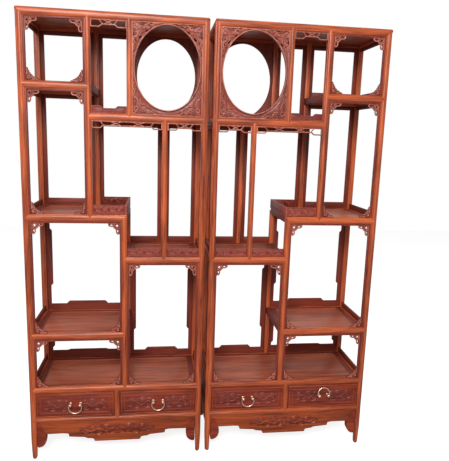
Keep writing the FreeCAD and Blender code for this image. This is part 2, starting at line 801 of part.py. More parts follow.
node("aprons", [
    apron("front_apron", clear_width, apron_drop, corner_post, apron_setback + apron_thickness,
          FACING_FRONT),
    apron("rear_apron", clear_width, side_apron_drop, corner_post, cabinet_depth - apron_setback,
          FACING_FRONT),
    apron("outer_apron", panel_run, side_apron_drop, apron_setback, frame_depth, FACING_SIDE),
    apron("inner_apron", panel_run, side_apron_drop, cabinet_width - apron_setback - apron_thickness,
          frame_depth, FACING_SIDE)])


def bracket(name, x, y, sign):
    """Stands behind the apron against a foot, wider at its lobe and cut back below it."""
    w = bracket_width * sign
    lobe = (bracket_width + bracket_lobe) * sign
    low = -bracket_height
    neck = bracket_share["neck"]
    return board(name, [[
        (ZERO, ZERO), (ZERO, low), (w * neck, low), (lobe, low * bracket_share["turn"]),
        (lobe, low * bracket_share["lobe"]), (w, low * neck), (w, ZERO)]],
        bracket_thickness, x, y, base_level - base_rail, FACING_FRONT)


front_bracket_y = apron_setback + apron_thickness + bracket_thickness
rear_bracket_y = cabinet_depth - apron_setback - apron_thickness
node("apron_brackets", [
    bracket("outer_front_bracket", corner_post, front_bracket_y, 1),
    bracket("inner_front_bracket", inner_edge, front_bracket_y, -1),
    bracket("outer_rear_bracket", corner_post, rear_bracket_y, 1),
    bracket("inner_rear_bracket", inner_edge, rear_bracket_y, -1)])


# Drawers: a box of four boards, a moulded front, two pull posts and a swinging bail

opening_run = case_middle - divider_width / 2 - corner_post
front_run = opening_run - drawer_clearance * 2
front_rise = case_clear - drawer_clearance * 2
box_run = front_run
front_back = drawer_front_setback + drawer_front_thickness
drawer_box_depth = rear_frame_face - drawer_rear_clearance - front_back
box_low = base_level + running_gap


def drawer(name, left):
    side_left = left + drawer_clearance
    side_right = left + opening_run - drawer_clearance - drawer_side_thickness
    inner_run = box_run - drawer_side_thickness * 2
    bottom_z = box_low + drawer_bottom_rise
    node(name + "_drawer_box", [
        block(name + "_box_left", side_left, front_back, box_low, drawer_side_thickness, drawer_box_depth,
              drawer_box_height),
        block(name + "_box_right", side_right, front_back, box_low, drawer_side_thickness, drawer_box_depth,
              drawer_box_height),
        block(name + "_box_back", side_left + drawer_side_thickness,
              front_back + drawer_box_depth - drawer_side_thickness, box_low, inner_run,
              drawer_side_thickness, drawer_box_height),
        block(name + "_box_bottom", side_left + drawer_side_thickness, front_back, bottom_z, inner_run,
              drawer_box_depth - drawer_side_thickness, drawer_bottom_thickness)])

    front = new_body(name + "_front_board")
    face = new_sketch(front, name + "_face")
    outline(face, rectangle(ZERO, ZERO, front_run, front_rise))
    pad(front, face, drawer_front_thickness)
    bead = new_sketch(front, name + "_bead", offset=drawer_front_thickness)
    low = drawer_bead_inset
    inner = drawer_bead_inset + drawer_bead_width
    outline(bead, rectangle(low, low, front_run - low, front_rise - low))
    outline(bead, rectangle(inner, inner, front_run - inner, front_rise - inner))
    pad(front, bead, drawer_bead_rise, "bead_pad")
    place(front, side_left, front_back, base_level + drawer_clearance, FACING_FRONT)

    centre = left + opening_run / 2
    posts = []
    for side_name, sign in (("left", -1), ("right", 1)):
        x = centre + pull_spacing / 2 * sign
        posts.append(pull_post(name + "_pull_" + side_name, x, sign))
    node(name + "_drawer_front", [front] + posts)


head_middle = pull_neck_length + pull_head_radius


def pull_post(name, x, sign):
    """A neck and an eight-sided head, which is cut short at its outer cheek and bored for the bail's tip."""
    body = new_body(name)
    neck = new_sketch(body, name + "_neck")
    outline(neck, eight_sided(ZERO, pull_neck_radius, pull_neck_radius))
    pad(body, neck, pull_neck_length)
    head = new_sketch(body, name + "_head", offset=pull_neck_length)
    middle = (pull_head_cheek - pull_head_radius) / 2
    outline(head, eight_sided(middle * sign, (pull_head_cheek + pull_head_radius) / 2, pull_head_radius))
    pad(body, head, pull_head_radius * 2, "head_pad")
    bore = new_sketch(body, name + "_bore", "YZ_Plane")
    circle(bore, ZERO, head_middle, bail_pin_radius + bail_clearance)
    pocket(body, bore, pull_head_radius, sign > 0)
    return place(body, x, drawer_front_setback, pull_level, FACING_FRONT)


def bail(name, centre, side_sign, lift):
    """A bail: a deep round loop between two upright arms, with a pin turned inwards from each arm. It is
    drawn about its pivot line, hanging, and turned up by the lift."""
    arm = pull_spacing / 2 + pull_head_cheek + bail_clearance + bail_wire_radius
    body = new_body(name)
    bend = arm - bail_drop
    inner = []
    outer = []
    for radius, points in ((arm - bail_wire_radius, inner), (arm + bail_wire_radius, outer)):
        points.append((-radius, bail_wire_radius))
        for number in range(BAIL_RUNS + 1):
            angle = math.pi * number / BAIL_RUNS
            points.append((radius * -math.cos(angle), bend - radius * math.sin(angle)))
        points.append((radius, bail_wire_radius))
    loop = new_sketch(body, name + "_loop")
    outline(loop, outer + inner[::-1])
    wire = pad(body, loop, bail_wire_radius * 2, "wire")
    wire.Midplane = True
    tip = new_sketch(body, name + "_tip", "YZ_Plane", arm)
    outline(tip, eight_sided(ZERO, bail_pin_radius, bail_pin_radius))
    pin = pad(body, tip, bail_wire_radius + bail_clearance + bail_pin_length, "pin")
    pin.Reversed = True
    both = body.newObject("PartDesign::Mirrored", "both_pins")
    both.Originals = [pin]
    both.MirrorPlane = (origin_plane(body, "YZ_Plane"), [""])
    body.Tip = both
    turn = FreeCAD.Rotation(FreeCAD.Vector(1, 0, 0), 90 - lift)
    body.Placement = FreeCAD.Placement(FreeCAD.Vector(0, 0, 0), turn)
    bind(body, ".Placement.Base.x", across(centre) * side_sign)
    bind(body, ".Placement.Base.y", deep(drawer_front_setback - head_middle))
    bind(body, ".Placement.Base.z", pull_level)
    return body


outer_opening = corner_post
inner_opening = case_middle + divider_width / 2
drawer("outer", outer_opening)
drawer("inner", inner_opening)


# The right cabinet is the left one seen in a mirror between them. The bails are alike both ways round, so
# they are placed and not mirrored, and the one of the right cabinet's outer drawer is turned up.

bail_places = {"outer": outer_opening + opening_run / 2, "inner": inner_opening + opening_run / 2}
finished = []
for name, thing in nodes:
    thing.Label = "left_" + name
    finished.append(thing)
    mirrored = document.addObject("Part::Mirroring", "right_" + name)
    mirrored.Source = thing
    mirrored.Normal = FreeCAD.Vector(1, 0, 0)
    mirrored.Base = FreeCAD.Vector(0, 0, 0)
    mirrored.Label = "right_" + name
    finished.append(mirrored)
for drawer_name, centre in bail_places.items():
    for side, sign in (("left", 1), ("right", -1)):
        lift = BAIL_TURNED_UP if (side, drawer_name) == ("right", "outer") else 0
        label = "%s_%s_drawer_bail" % (side, drawer_name)
        thing = bail(label, centre, sign, lift)
        thing.Label = label
        finished.append(thing)

document.recompute()

for item in document.Objects:
    if "Invalid" in item.State or "Error" in item.State:
        raise RuntimeError("%s is not valid: %s" % (item.Name, item.State))
for thing in finished:
    if thing.Shape.isNull() or not thing.Shape.isValid():
        raise RuntimeError("%s has no valid shape" % thing.Label)

os.makedirs("parts", exist_ok=True)
for thing in finished:
    thing.Shape.exportStep("parts/%s.step" % thing.Label)
print("%d nodes, %d solids" % (len(finished), sum(len(thing.Shape.Solids) for thing in finished)))
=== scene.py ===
import math

import bpy
import numpy as np
from mathutils import Matrix, Vector
from mathutils.geometry import tessellate_polygon


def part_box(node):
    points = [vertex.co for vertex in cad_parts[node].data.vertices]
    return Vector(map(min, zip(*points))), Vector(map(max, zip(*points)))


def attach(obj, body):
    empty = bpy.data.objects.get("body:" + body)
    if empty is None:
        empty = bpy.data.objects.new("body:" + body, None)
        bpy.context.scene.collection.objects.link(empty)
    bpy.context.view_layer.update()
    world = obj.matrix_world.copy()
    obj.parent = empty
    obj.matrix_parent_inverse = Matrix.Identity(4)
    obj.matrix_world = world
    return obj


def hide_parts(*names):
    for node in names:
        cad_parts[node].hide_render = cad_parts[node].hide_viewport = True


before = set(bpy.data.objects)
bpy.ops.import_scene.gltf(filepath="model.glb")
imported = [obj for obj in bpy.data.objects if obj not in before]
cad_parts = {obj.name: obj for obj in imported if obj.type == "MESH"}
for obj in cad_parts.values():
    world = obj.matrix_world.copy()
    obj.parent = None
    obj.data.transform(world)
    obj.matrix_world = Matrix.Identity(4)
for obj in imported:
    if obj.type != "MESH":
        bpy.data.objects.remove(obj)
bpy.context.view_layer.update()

bl_info = {
    "name": "Mirrored Display Bookcases",
    "version": (1, 0, 0),
    "blender": (4, 5, 0),
    "location": "3D View > Sidebar > Bookcases",
    "description": "Dresses a mirrored pair of rosewood display bookcases",
    "category": "Object",
}

# Measures
# A cabinet's own place is (across, deep, up) in millimetres: across from its outer side, deep from its front
# plane and up from the floor. The left cabinet is worked out and the right one is its mirror image.

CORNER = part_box("left_outer_posts")[0]
START = np.array([CORNER.x, CORNER.y, 0.0])
PER_METRE = 1000


def reach(node):
    """Lowest and highest across, deep and up of a left-hand node, in millimetres."""
    low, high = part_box("left_" + node)
    return ((np.array(low) - START) * PER_METRE).round(3), ((np.array(high) - START) * PER_METRE).round(3)


def depths(node):
    """Depth of the front and of the back of a left-hand node, in millimetres."""
    low, high = reach(node)
    return low[1], high[1]


OUTER_POST = reach("outer_posts")[1][0]
INNER_EDGE = reach("inner_posts")[0][0]
WIDTH = reach("inner_posts")[1][0]
DEPTH = reach("inner_posts")[1][1]
POST_TOP = reach("inner_posts")[1][2]
UPPER = reach("upper_divider_posts")
GATE = reach("gate_divider_posts")
MIDDLE = reach("middle_divider_posts")
LOWER = reach("lower_divider_posts")
NICHE_LEVEL = reach("square_niche_shelf")[1][2]
GATE_LEVEL = reach("moon_gate_shelf")[1][2]
STEP_LEVEL = reach("stepped_shelf")[1][2]
TALL_LEVEL = reach("tall_niche_shelf")[1][2]
BAY_LEVEL = reach("open_bay_shelf")[1][2]
CASE_LEVEL = reach("drawer_case_top")[1][2]
BASE_LEVEL = reach("base_frame")[1][2]
BASE_UNDER = reach("base_frame")[0][2]
TOP_LEVEL = reach("top_frame")[1][2]

# Measures that several pieces share

RAIL = 30.0
FRAME_DEPTH = 30.0
REAR_FACE = DEPTH - FRAME_DEPTH
TOP_HEIGHT = TOP_LEVEL - POST_TOP
GATE_SIDE_MARGIN = 6.0
GATE_HEAD_MARGIN = 4.0
GATE_FOOT_MARGIN = 17.0
GATE_UNDER = GATE_LEVEL - RAIL
NICHE_FENCE = 42.0
TALL_FENCE = 36.0
PULL_LEVEL = 273.0

OPENINGS = {
    "square_niche": (OUTER_POST, UPPER[0][0], NICHE_LEVEL, POST_TOP),
    "high_niche": (OUTER_POST, UPPER[0][0], STEP_LEVEL, NICHE_LEVEL - RAIL),
    "open_bay": (OUTER_POST, LOWER[0][0], BAY_LEVEL, STEP_LEVEL - RAIL),
    "tall_bay": (LOWER[1][0], INNER_EDGE, CASE_LEVEL, TALL_LEVEL - RAIL),
    "low_bay": (OUTER_POST, LOWER[0][0], CASE_LEVEL, BAY_LEVEL - RAIL),
}


# Sizes and finishes that a user would change

def shade(name, description, value):
    """A colour of the settings."""
    return bpy.props.FloatVectorProperty(name=name, description=description, subtype="COLOR", size=3,
                                         min=0.0, max=1.0, default=value)


def length(name, description, value):
    """A length of the settings, in metres."""
    return bpy.props.FloatProperty(name=name, description=description, default=value, min=0.0, max=0.1,
                                   precision=4, unit="LENGTH")


class BookcaseSizes(bpy.types.PropertyGroup):
    bead_rise: length("Bead rise", "How far the half-round of a post or rail stands out", 0.006)
    bead_flat: length("Bead flat", "Width of the flat on each side of the half-round", 0.0025)
    vine_width: length("Vine width", "Width of the carved lines of the fretwork", 0.0056)
    relief_rise: length("Relief rise", "How far the carving stands out of aprons and drawer fronts", 0.0036)
    pull_ball: length("Pull ball", "Radius of the ball at the end of each pull post", 0.0080)
    bail_wire: length("Bail wire", "Radius of the bail at its pivots", 0.0021)
    bail_belly: length("Bail belly", "Radius of the bail at its lowest point", 0.0033)


class BookcaseFinish(bpy.types.PropertyGroup):
    frame_light: shade("Frame light", "Light grain of the posts and rails", (0.62, 0.128, 0.038))
    frame_dark: shade("Frame dark", "Dark grain of the posts and rails", (0.110, 0.013, 0.007))
    panel_light: shade("Panel light", "Light grain of the shelf panels", (0.47, 0.118, 0.056))
    panel_dark: shade("Panel dark", "Dark grain of the shelf panels", (0.185, 0.036, 0.021))
    # The recess colours are darker than the wood's own: painted shade for the linings, rear frames, rear
    # fence, shelf stiles and carved grounds that lie back in the openings.
    painted_shade_light: shade("Recess light", "Light grain of the linings and rear frames", (0.24, 0.040, 0.021))
    painted_shade_dark: shade("Recess dark", "Dark grain of the linings and rear frames", (0.095, 0.015, 0.010))
    # The carving colours are paler and greyer than the frame's: partly the carved wood and partly painted
    # sheen standing in for the glints on the carving.
    carving_light: shade("Carving light", "Light grain of the carved pieces", (0.58, 0.200, 0.135))
    carving_dark: shade("Carving dark", "Dark grain of the carved pieces", (0.21, 0.052, 0.038))
    # The drawer front and apron colours are darker than the frame's: partly their own deeper tone and partly
    # painted shade of the light falling off towards the floor.
    front_light: shade("Drawer front light", "Light grain of the drawer fronts", (0.35, 0.048, 0.018))
    front_dark: shade("Drawer front dark", "Dark grain of the drawer fronts", (0.085, 0.009, 0.005))
    apron_light: shade("Apron light", "Light grain of the aprons", (0.46, 0.085, 0.021))
    apron_dark: shade("Apron dark", "Dark grain of the aprons", (0.11, 0.013, 0.005))
    relief_light: shade("Relief light", "Light grain of the relief carving", (0.36, 0.078, 0.056))
    relief_dark: shade("Relief dark", "Dark grain of the relief carving", (0.11, 0.020, 0.017))
    drawer_wood: shade("Drawer wood", "Plain wood of the drawer boxes", (0.42, 0.23, 0.11))
    brass: shade("Brass", "Metal of the pulls and bails", (0.92, 0.68, 0.54))


class BookcaseStage(bpy.types.PropertyGroup):
    camera_place: bpy.props.FloatVectorProperty(
        name="Camera place", description="Where the camera stands", subtype="XYZ", unit="LENGTH", size=3,
        default=(-0.2319, -2.4001, 1.5029))
    camera_yaw: bpy.props.FloatProperty(
        name="Camera yaw", description="Turn to the right from looking straight at the fronts",
        subtype="ANGLE", unit="ROTATION", default=0.1369)
    camera_pitch: bpy.props.FloatProperty(
        name="Camera pitch", description="Tilt upwards from level", subtype="ANGLE", unit="ROTATION",
        default=-0.1787)
    camera_roll: bpy.props.FloatProperty(
        name="Camera roll", description="Turn of the picture about the line of sight", subtype="ANGLE",
        unit="ROTATION", default=0.0319)
    lens: bpy.props.FloatProperty(name="Lens", description="Focal length in millimetres", default=40.65,
                                  min=10.0, max=200.0)
    floor: shade("Floor", "Colour of the floor", (0.50, 0.50, 0.50))


def size_of(name):
    """A length of the settings, in millimetres."""
    return getattr(bpy.context.scene.bookcase_sizes, name) * PER_METRE


# Surfaces
# Each closed surface is a grid of points: rings of a section, one ring for each place along a path, joined by
# faces of four corners and closed by one flat face at each end.

def turned_out(points, faces):
    """Turns a closed surface's faces outwards: the volume, summed over the fans of its faces as a third of
    corner dot face area, has to be positive."""
    total = 0.0
    for group in faces:
        corners = points[group]
        first = corners[:, 0]
        for number in range(1, corners.shape[1] - 1):
            total += np.einsum("ij,ij->", first, np.cross(corners[:, number], corners[:, number + 1]))
    return faces if total > 0 else [group[:, ::-1] for group in faces]


def numbered(rings):
    """Numbers of the points of the rings, one row for each ring."""
    return np.arange(rings.shape[0] * rings.shape[1]).reshape(rings.shape[:2])


def faces_between(near, far):
    """Faces of four corners from each ring to the ring after it, from the numbers of their points."""
    return np.stack([near, np.roll(near, -1, 1), np.roll(far, -1, 1), far], -1).reshape(-1, 4)


def closed_rings(rings):
    """Rings (stations, section points, 3) joined along the path, with a flat face on the first and last."""
    index = numbered(rings)
    return rings.reshape(-1, 3), [faces_between(index[:-1], index[1:]), index[:1, ::-1], index[-1:]]


def closed_loop(rings):
    """Rings joined along a path that comes back to its start."""
    index = numbered(rings)
    return rings.reshape(-1, 3), [faces_between(index, np.roll(index, -1, 0))]


class Surfaces:
    """Closed surfaces of one piece: arrays of points, and arrays of faces, each with the name of its wood."""

    def __init__(self):
        self.points = []
        self.faces = []
        self.woods = []
        self.count = 0

    def add(self, surface, wood=None):
        """Adds a closed surface. Where no wood is named, it has the first one of the piece."""
        points, faces = surface
        for group in turned_out(points, faces):
            self.faces.append(group + self.count)
            self.woods.append(wood)
        self.points.append(points)
        self.count += len(points)


def linked(name, data):
    """An object of the scene that shows the data."""
    thing = bpy.data.objects.new(name, data)
    bpy.context.scene.collection.objects.link(thing)
    return thing


def mesh_object(name, points, groups, woods, materials, sharp):
    """One mesh object in metres, from arrays of faces of equal corner counts and the wood of each array.
    Edges that turn by more than the sharp angle, in degrees, stay crisp."""
    mesh = bpy.data.meshes.new(name)
    mesh.from_pydata(points.tolist(), [], [face for group in groups for face in group.tolist()])
    kinds = [np.full(len(group), materials.index(wood) if wood else 0) for group, wood in zip(groups, woods)]
    mesh.polygons.foreach_set("material_index", np.concatenate(kinds).astype(np.int32))
    finish = finishes()
    for material in materials:
        mesh.materials.append(finish[material])
    mesh.shade_smooth()
    mesh.set_sharp_from_angle(angle=math.radians(sharp))
    mesh.update()
    return linked(name, mesh)


def world_points(points, side):
    """Cabinet place to world metres. The right cabinet is the mirror image across the middle plane."""
    moved = points / PER_METRE + START
    if side == "right":
        moved = moved * np.array([-1.0, 1.0, 1.0])
    return moved


def pair(name, surfaces, materials, replaces, body="cabinets", sides=("left", "right"), sharp=38.0):
    """Makes the left piece and its mirror image on the right, and lets each ride with its body. The materials
    are given by their names in finishes."""
    for side in sides:
        points = world_points(np.concatenate(surfaces.points), side)
        groups = surfaces.faces if side == "left" else [group[:, ::-1] for group in surfaces.faces]
        thing = mesh_object("%s_%s" % (side, name), points, groups, surfaces.woods, materials, sharp)
        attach(thing, body if body == "cabinets" else "%s_%s" % (side, body))
        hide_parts(*["%s_%s" % (side, node) for node in replaces])


# Sections and bars

def half_round(start, stop, foot, crest, count=13):
    """Points of a half ellipse from start to stop, from its foot up to its crest and back."""
    turn = np.linspace(0.0, math.pi, count)
    middle = (start + stop) / 2
    return np.stack([middle - np.cos(turn) * (stop - start) / 2, foot + np.sin(turn) * (crest - foot)], -1)


def bead_section(width, rise, flat, deep, back_rise=1.5):
    """Section (across, deep) of a post or rail: a half-round bead between flats whose outer edges are eased,
    and a low bead on the back, which is flat where it has no rise."""
    face = half_round(flat, width - flat, rise, 0.0)
    corner = np.array([[0.9, rise + 0.15], [0.0, rise + 1.0]])
    mirror = np.array([width, 0.0]) + corner[::-1] * np.array([-1.0, 1.0])
    back = half_round(width - 3.5, 3.5, deep - back_rise, deep, 7) if back_rise else np.empty((0, 2))
    end = deep - back_rise
    low_corners = np.array([[width, end - 1.0], [width - 1.0, end]])
    high_corners = np.array([[1.0, end], [0.0, end - 1.0]])
    return np.concatenate([corner[::-1], face, mirror, low_corners, back, high_corners])


def show_bead(width, deep=FRAME_DEPTH, back_rise=1.5):
    """Section of a post or rail on a side that shows, with the bead of the settings."""
    return bead_section(width, size_of("bead_rise"), size_of("bead_flat"), deep, back_rise)


def rear_bead(width):
    """Section of a post or rail at the rear, with a low bead."""
    return bead_section(width, 3.0, 3.0, FRAME_DEPTH)


# The axes of a bar's width, of its depth and of its run

STANDING = (0, 1, 2)
LYING = (2, 1, 0)
INWARD = (2, 0, 1)


def bar(section, way, first, second, start, stop, flip=False):
    """A section carried straight from start to stop, each a number or one for each point of the section. The
    way gives the axes of the section's width and depth, which begin at first and second, and of the run. A
    flipped section has its bead on the far side."""
    wide, deep, run = way
    rings = np.empty((2, len(section), 3))
    rings[:, :, wide] = section[:, 0] + first
    rings[:, :, deep] = (second - section[:, 1]) if flip else (section[:, 1] + second)
    rings[0, :, run] = start
    rings[1, :, run] = stop
    return closed_rings(rings)


def block(low, high, radius=1.5):
    """A board with softened edges: a rounded rectangle carried along the longest side, drawn in at both ends
    by a quarter round. The radius is at most 0.45 of the thickness."""
    low = np.array(low, float)
    high = np.array(high, float)
    size = high - low
    axis = int(size.argmax())
    first, second = [number for number in range(3) if number != axis]
    radius = min(radius, size.min() * 0.45)
    quarter = np.radians([0.0, 45.0, 90.0])
    fall = radius * (1 - np.cos(quarter))
    inset = radius * (1 - np.sin(quarter))
    run = np.concatenate([fall, size[axis] - fall[::-1]])
    bend = np.maximum(radius - np.concatenate([inset, inset[::-1]]), 0.05)
    signs = np.array([[1, 1], [-1, 1], [-1, -1], [1, -1]])
    around = np.concatenate([quarter + math.pi / 2 * number for number in range(4)])
    centre = np.repeat(signs * (size[[first, second]] / 2 - radius), 3, 0)
    rings = np.empty((len(run), len(around), 3))
    rings[:, :, axis] = run[:, None]
    rings[:, :, first] = size[first] / 2 + centre[None, :, 0] + bend[:, None] * np.cos(around)[None]
    rings[:, :, second] = size[second] / 2 + centre[None, :, 1] + bend[:, None] * np.sin(around)[None]
    return closed_rings(rings + low)


# Flat work
# Boards cut to an outline, and lines carved along a path. Both are drawn (across, up) and stand upright,
# facing the front, unless they are turned to face the side.

def unit_normals(path, closed):
    """Left normals of a path: the mean of the runs before and after, turned a quarter, and stretched at each
    corner, by twice at most, so that a shifted path keeps its distance."""
    least_sum, least_share = 0.35, 0.5
    if closed:
        ahead = np.roll(path, -1, 0) - path
        behind = path - np.roll(path, 1, 0)
    else:
        step = np.diff(path, axis=0)
        ahead = np.concatenate([step, step[-1:]])
        behind = np.concatenate([step[:1], step])
    ahead = ahead / np.linalg.norm(ahead, axis=1)[:, None]
    behind = behind / np.linalg.norm(behind, axis=1)[:, None]
    total = ahead + behind
    size = np.maximum(np.linalg.norm(total, axis=1), least_sum)[:, None]
    mean = total / size
    stretch = 1 / np.maximum((mean * ahead).sum(1), least_share)
    return np.stack([-mean[:, 1], mean[:, 0]], -1) * stretch[:, None]


def signed_area(path):
    """Area inside a closed path, from the sum of its corners' cross products: positive when it turns left."""
    after = np.roll(path, -1, 0)
    return (path[:, 0] * after[:, 1] - after[:, 0] * path[:, 1]).sum() / 2


def cut_board(outlines, front, back, edge=1.0):
    """A board between two depths, cut to the first outline and pierced by the others. Each outline becomes
    four rings, drawn in by the edge on the two faces, and the faces are filled between the outlines."""
    points = []
    faces = []
    front_index = []
    back_index = []
    start = 0
    for number, outline in enumerate(outlines):
        outline = np.array(outline, float)
        if (signed_area(outline) > 0) != (number == 0):
            outline = outline[::-1]
        count = len(outline)
        inner = outline + unit_normals(outline, True) * edge
        layers = [(inner, front), (outline, front + edge), (outline, back - edge), (inner, back)]
        for layer, deep in layers:
            points.append(np.column_stack([layer[:, 0], np.full(count, deep), layer[:, 1]]))
        index = start + np.arange(len(layers) * count).reshape(len(layers), count)
        faces.append(faces_between(index[:-1], index[1:])[:, ::-1])
        front_index.append(index[0])
        back_index.append(index[-1])
        start += len(layers) * count
    points = np.concatenate(points)
    flat = [[Vector((point[0], point[2], 0.0)) for point in points[index]] for index in front_index]
    triangles = np.array(tessellate_polygon(flat))
    front_all = np.concatenate(front_index)
    back_all = np.concatenate(back_index)
    corners = points[front_all[triangles]][:, :, [0, 2]]
    span = corners[:, 1] - corners[:, 0]
    other = corners[:, 2] - corners[:, 0]
    area = span[:, 0] * other[:, 1] - span[:, 1] * other[:, 0]
    triangles = np.where((area > 0)[:, None], triangles, triangles[:, ::-1])
    return points, faces + [front_all[triangles], back_all[triangles[:, ::-1]]]


def smooth_path(points, steps=6, closed=False):
    """A smooth line through the points: each run is a cubic whose slopes at its ends are half the step from
    the point before to the point after."""
    points = np.array(points, float)
    if closed:
        before = np.roll(points, 1, 0)
        after = np.roll(points, -1, 0)
        beyond = np.roll(points, -2, 0)
        start = points
    else:
        padded = np.concatenate([2 * points[:1] - points[1:2], points, 2 * points[-1:] - points[-2:-1]])
        before, start, after, beyond = padded[:-3], padded[1:-2], padded[2:-1], padded[3:]
    share = np.linspace(0.0, 1.0, steps, endpoint=False)[None, :, None]
    before, start, after, beyond = (item[:, None, :] for item in (before, start, after, beyond))
    line = 0.5 * (2 * start + (after - before) * share + (2 * before - 5 * start + 4 * after - beyond)
                  * share ** 2 + (3 * start - before - 3 * after + beyond) * share ** 3)
    line = line.reshape(-1, 2)
    return line if closed else np.concatenate([line, points[-1:]])


def both_ends(half, run):
    """A line drawn for its left end, joined to its mirror image at the right end of the run."""
    half = np.array(half, float)
    return np.concatenate([half, half[::-1] * (-1, 1) + (run, 0)])


def spiral(centre, start_radius, stop_radius, start_turn, stop_turn, count=14):
    """A curl about a centre: the radius goes evenly from start to stop while the angle (degrees) does."""
    turn = np.radians(np.linspace(start_turn, stop_turn, count))
    radius = np.linspace(start_radius, stop_radius, count)
    return np.array(centre) + np.stack([np.cos(turn), np.sin(turn)], -1) * radius[:, None]


def carried(path, closed, across, half, deep):
    """A section carried along a path: each of its points lies to the side of the path by its across times the
    half width at that place, and at its own depth."""
    plane = path[:, None] + unit_normals(path, closed)[:, None] * (across[None] * half[:, None])[:, :, None]
    rings = np.stack([plane[:, :, 0], np.broadcast_to(deep, plane.shape[:2]), plane[:, :, 1]], -1)
    return closed_loop(rings) if closed else closed_rings(rings)


def carved_line(path, width, front, back, tip=0.35, closed=False):
    """A line carved along a path. Its section is a half-round, minus the cosine across and the sine upwards,
    whose sides lean in to a flat back. An open line draws in to the tip share of its width at its ends, along
    a steep sine."""
    foot, crest, back_share, steepness = 0.45, 0.55, 0.82, 3.2
    path = np.array(path, float)
    half = np.full(len(path), width / 2)
    if not closed:
        ends = np.minimum(np.sin(np.linspace(0.0, math.pi, len(path))) * steepness, 1.0)
        half = half * (tip + (1 - tip) * ends)
    turn = np.linspace(0.0, math.pi, 7)
    across = np.concatenate([-np.cos(turn), [back_share, -back_share]])
    rise = np.concatenate([foot + crest * np.sin(turn), [0.0, 0.0]])
    return carried(path, closed, across, half, back + (front - back) * rise)


def leaf(path, width, front, back):
    """A carved leaf along a spine: its width is a sine from tip to tip, fuller near the base, its height is a
    lower sine, and its section has a ridge on each side of a shallow groove along the spine."""
    path = np.array(path, float)
    share = np.linspace(0.0, 1.0, len(path))
    half = width / 2 * (0.12 + 0.88 * np.sin(math.pi * share ** 0.8))
    across = np.array([-1.0, -0.8, -0.45, 0.0, 0.45, 0.8, 1.0, 0.8, -0.8])
    rise = np.array([0.25, 0.7, 1.0, 0.65, 1.0, 0.7, 0.25, 0.0, 0.0])
    swell = 0.55 + 0.45 * np.sin(math.pi * share)
    return carried(path, False, across, half, back + (front - back) * rise[None] * swell[:, None])


def placed(surface, origin, across_sign=1.0, up_sign=1.0, facing="front"):
    """Flat work drawn from its own corner, mirrored by the signs and moved to a place in the cabinet. Facing
    the side turns the drawing's across into the cabinet's depth, and its depth into across."""
    points, faces = surface
    points = points * np.array([across_sign, 1.0, up_sign])
    if facing == "side":
        points = points[:, [1, 0, 2]]
    return points + np.array(origin, float), faces


# Finishes

def new_material(name):
    """A material with its nodes and links, its shader and the output of its Object coordinates."""
    material = bpy.data.materials.new(name)
    material.use_nodes = True
    nodes = material.node_tree.nodes
    links = material.node_tree.links
    place = nodes.new("ShaderNodeTexCoord")
    return material, nodes, links, nodes["Principled BSDF"], place.outputs["Object"]


def colour_between(nodes, links, shader, value, dark, light, low, high):
    """The shader's colour runs from dark to light while the value goes from low to high."""
    ramp = nodes.new("ShaderNodeValToRGB")
    ramp.color_ramp.elements[0].position = low
    ramp.color_ramp.elements[0].color = (*dark, 1.0)
    ramp.color_ramp.elements[1].position = high
    ramp.color_ramp.elements[1].color = (*light, 1.0)
    links.new(value, ramp.inputs["Fac"])
    links.new(ramp.outputs["Color"], shader.inputs["Base Color"])


def roughness_between(nodes, links, shader, value, dull, bright):
    """The shader's roughness falls from dull to bright while the value goes from nought to one."""
    rough = nodes.new("ShaderNodeMapRange")
    rough.inputs["To Min"].default_value = dull
    rough.inputs["To Max"].default_value = bright
    links.new(value, rough.inputs["Value"])
    links.new(rough.outputs["Result"], shader.inputs["Roughness"])


def polished_wood(name, along, light, dark, gloss=0.40, coat=0.22, streaks=230.0, figure=1.0):
    """Polished wood: fine streaks, broad figure and soft patches, all drawn out along the grain, set the
    colour between dark and light. The streaks also set the roughness and a shallow bump."""
    material, nodes, links, shader, place = new_material(name)

    def noise(across_scale, along_scale, detail, rough, distortion=0.0):
        """Noise on the piece's own place, drawn out along the grain."""
        mapping = nodes.new("ShaderNodeMapping")
        scale = [across_scale] * 3
        scale["XYZ".index(along)] = along_scale
        mapping.inputs["Scale"].default_value = scale
        links.new(place, mapping.inputs["Vector"])
        texture = nodes.new("ShaderNodeTexNoise")
        texture.inputs["Scale"].default_value = 1.0
        texture.inputs["Detail"].default_value = detail
        texture.inputs["Roughness"].default_value = rough
        texture.inputs["Distortion"].default_value = distortion
        links.new(mapping.outputs["Vector"], texture.inputs["Vector"])
        return texture.outputs["Fac"]

    def blend(kind, value, share, more=None):
        """The value times its share, with more added to it where more is given."""
        node = nodes.new("ShaderNodeMath")
        node.operation = kind
        links.new(value, node.inputs[0])
        node.inputs[1].default_value = share
        if more is not None:
            links.new(more, node.inputs[2])
        return node.outputs[0]

    fine = noise(streaks, streaks * 0.035, detail=6.0, rough=0.62, distortion=0.3)
    broad = noise(34.0 * figure, 3.2 * figure, detail=3.0, rough=0.55, distortion=1.1)
    patches = noise(5.0, 1.6, detail=2.0, rough=0.5)
    grain = blend("MULTIPLY_ADD", fine, 0.45, blend("MULTIPLY", broad, 0.40))
    grain = blend("MULTIPLY_ADD", patches, 0.22, grain)
    colour_between(nodes, links, shader, grain, dark, light, low=0.39, high=0.64)
    roughness_between(nodes, links, shader, fine, dull=gloss + 0.10, bright=gloss - 0.08)
    bump = nodes.new("ShaderNodeBump")
    bump.inputs["Strength"].default_value = 0.12
    bump.inputs["Distance"].default_value = 0.0006
    links.new(fine, bump.inputs["Height"])
    links.new(bump.outputs["Normal"], shader.inputs["Normal"])
    shader.inputs["Specular IOR Level"].default_value = 0.26
    shader.inputs["Coat Weight"].default_value = coat
    shader.inputs["Coat Roughness"].default_value = 0.26
    return material


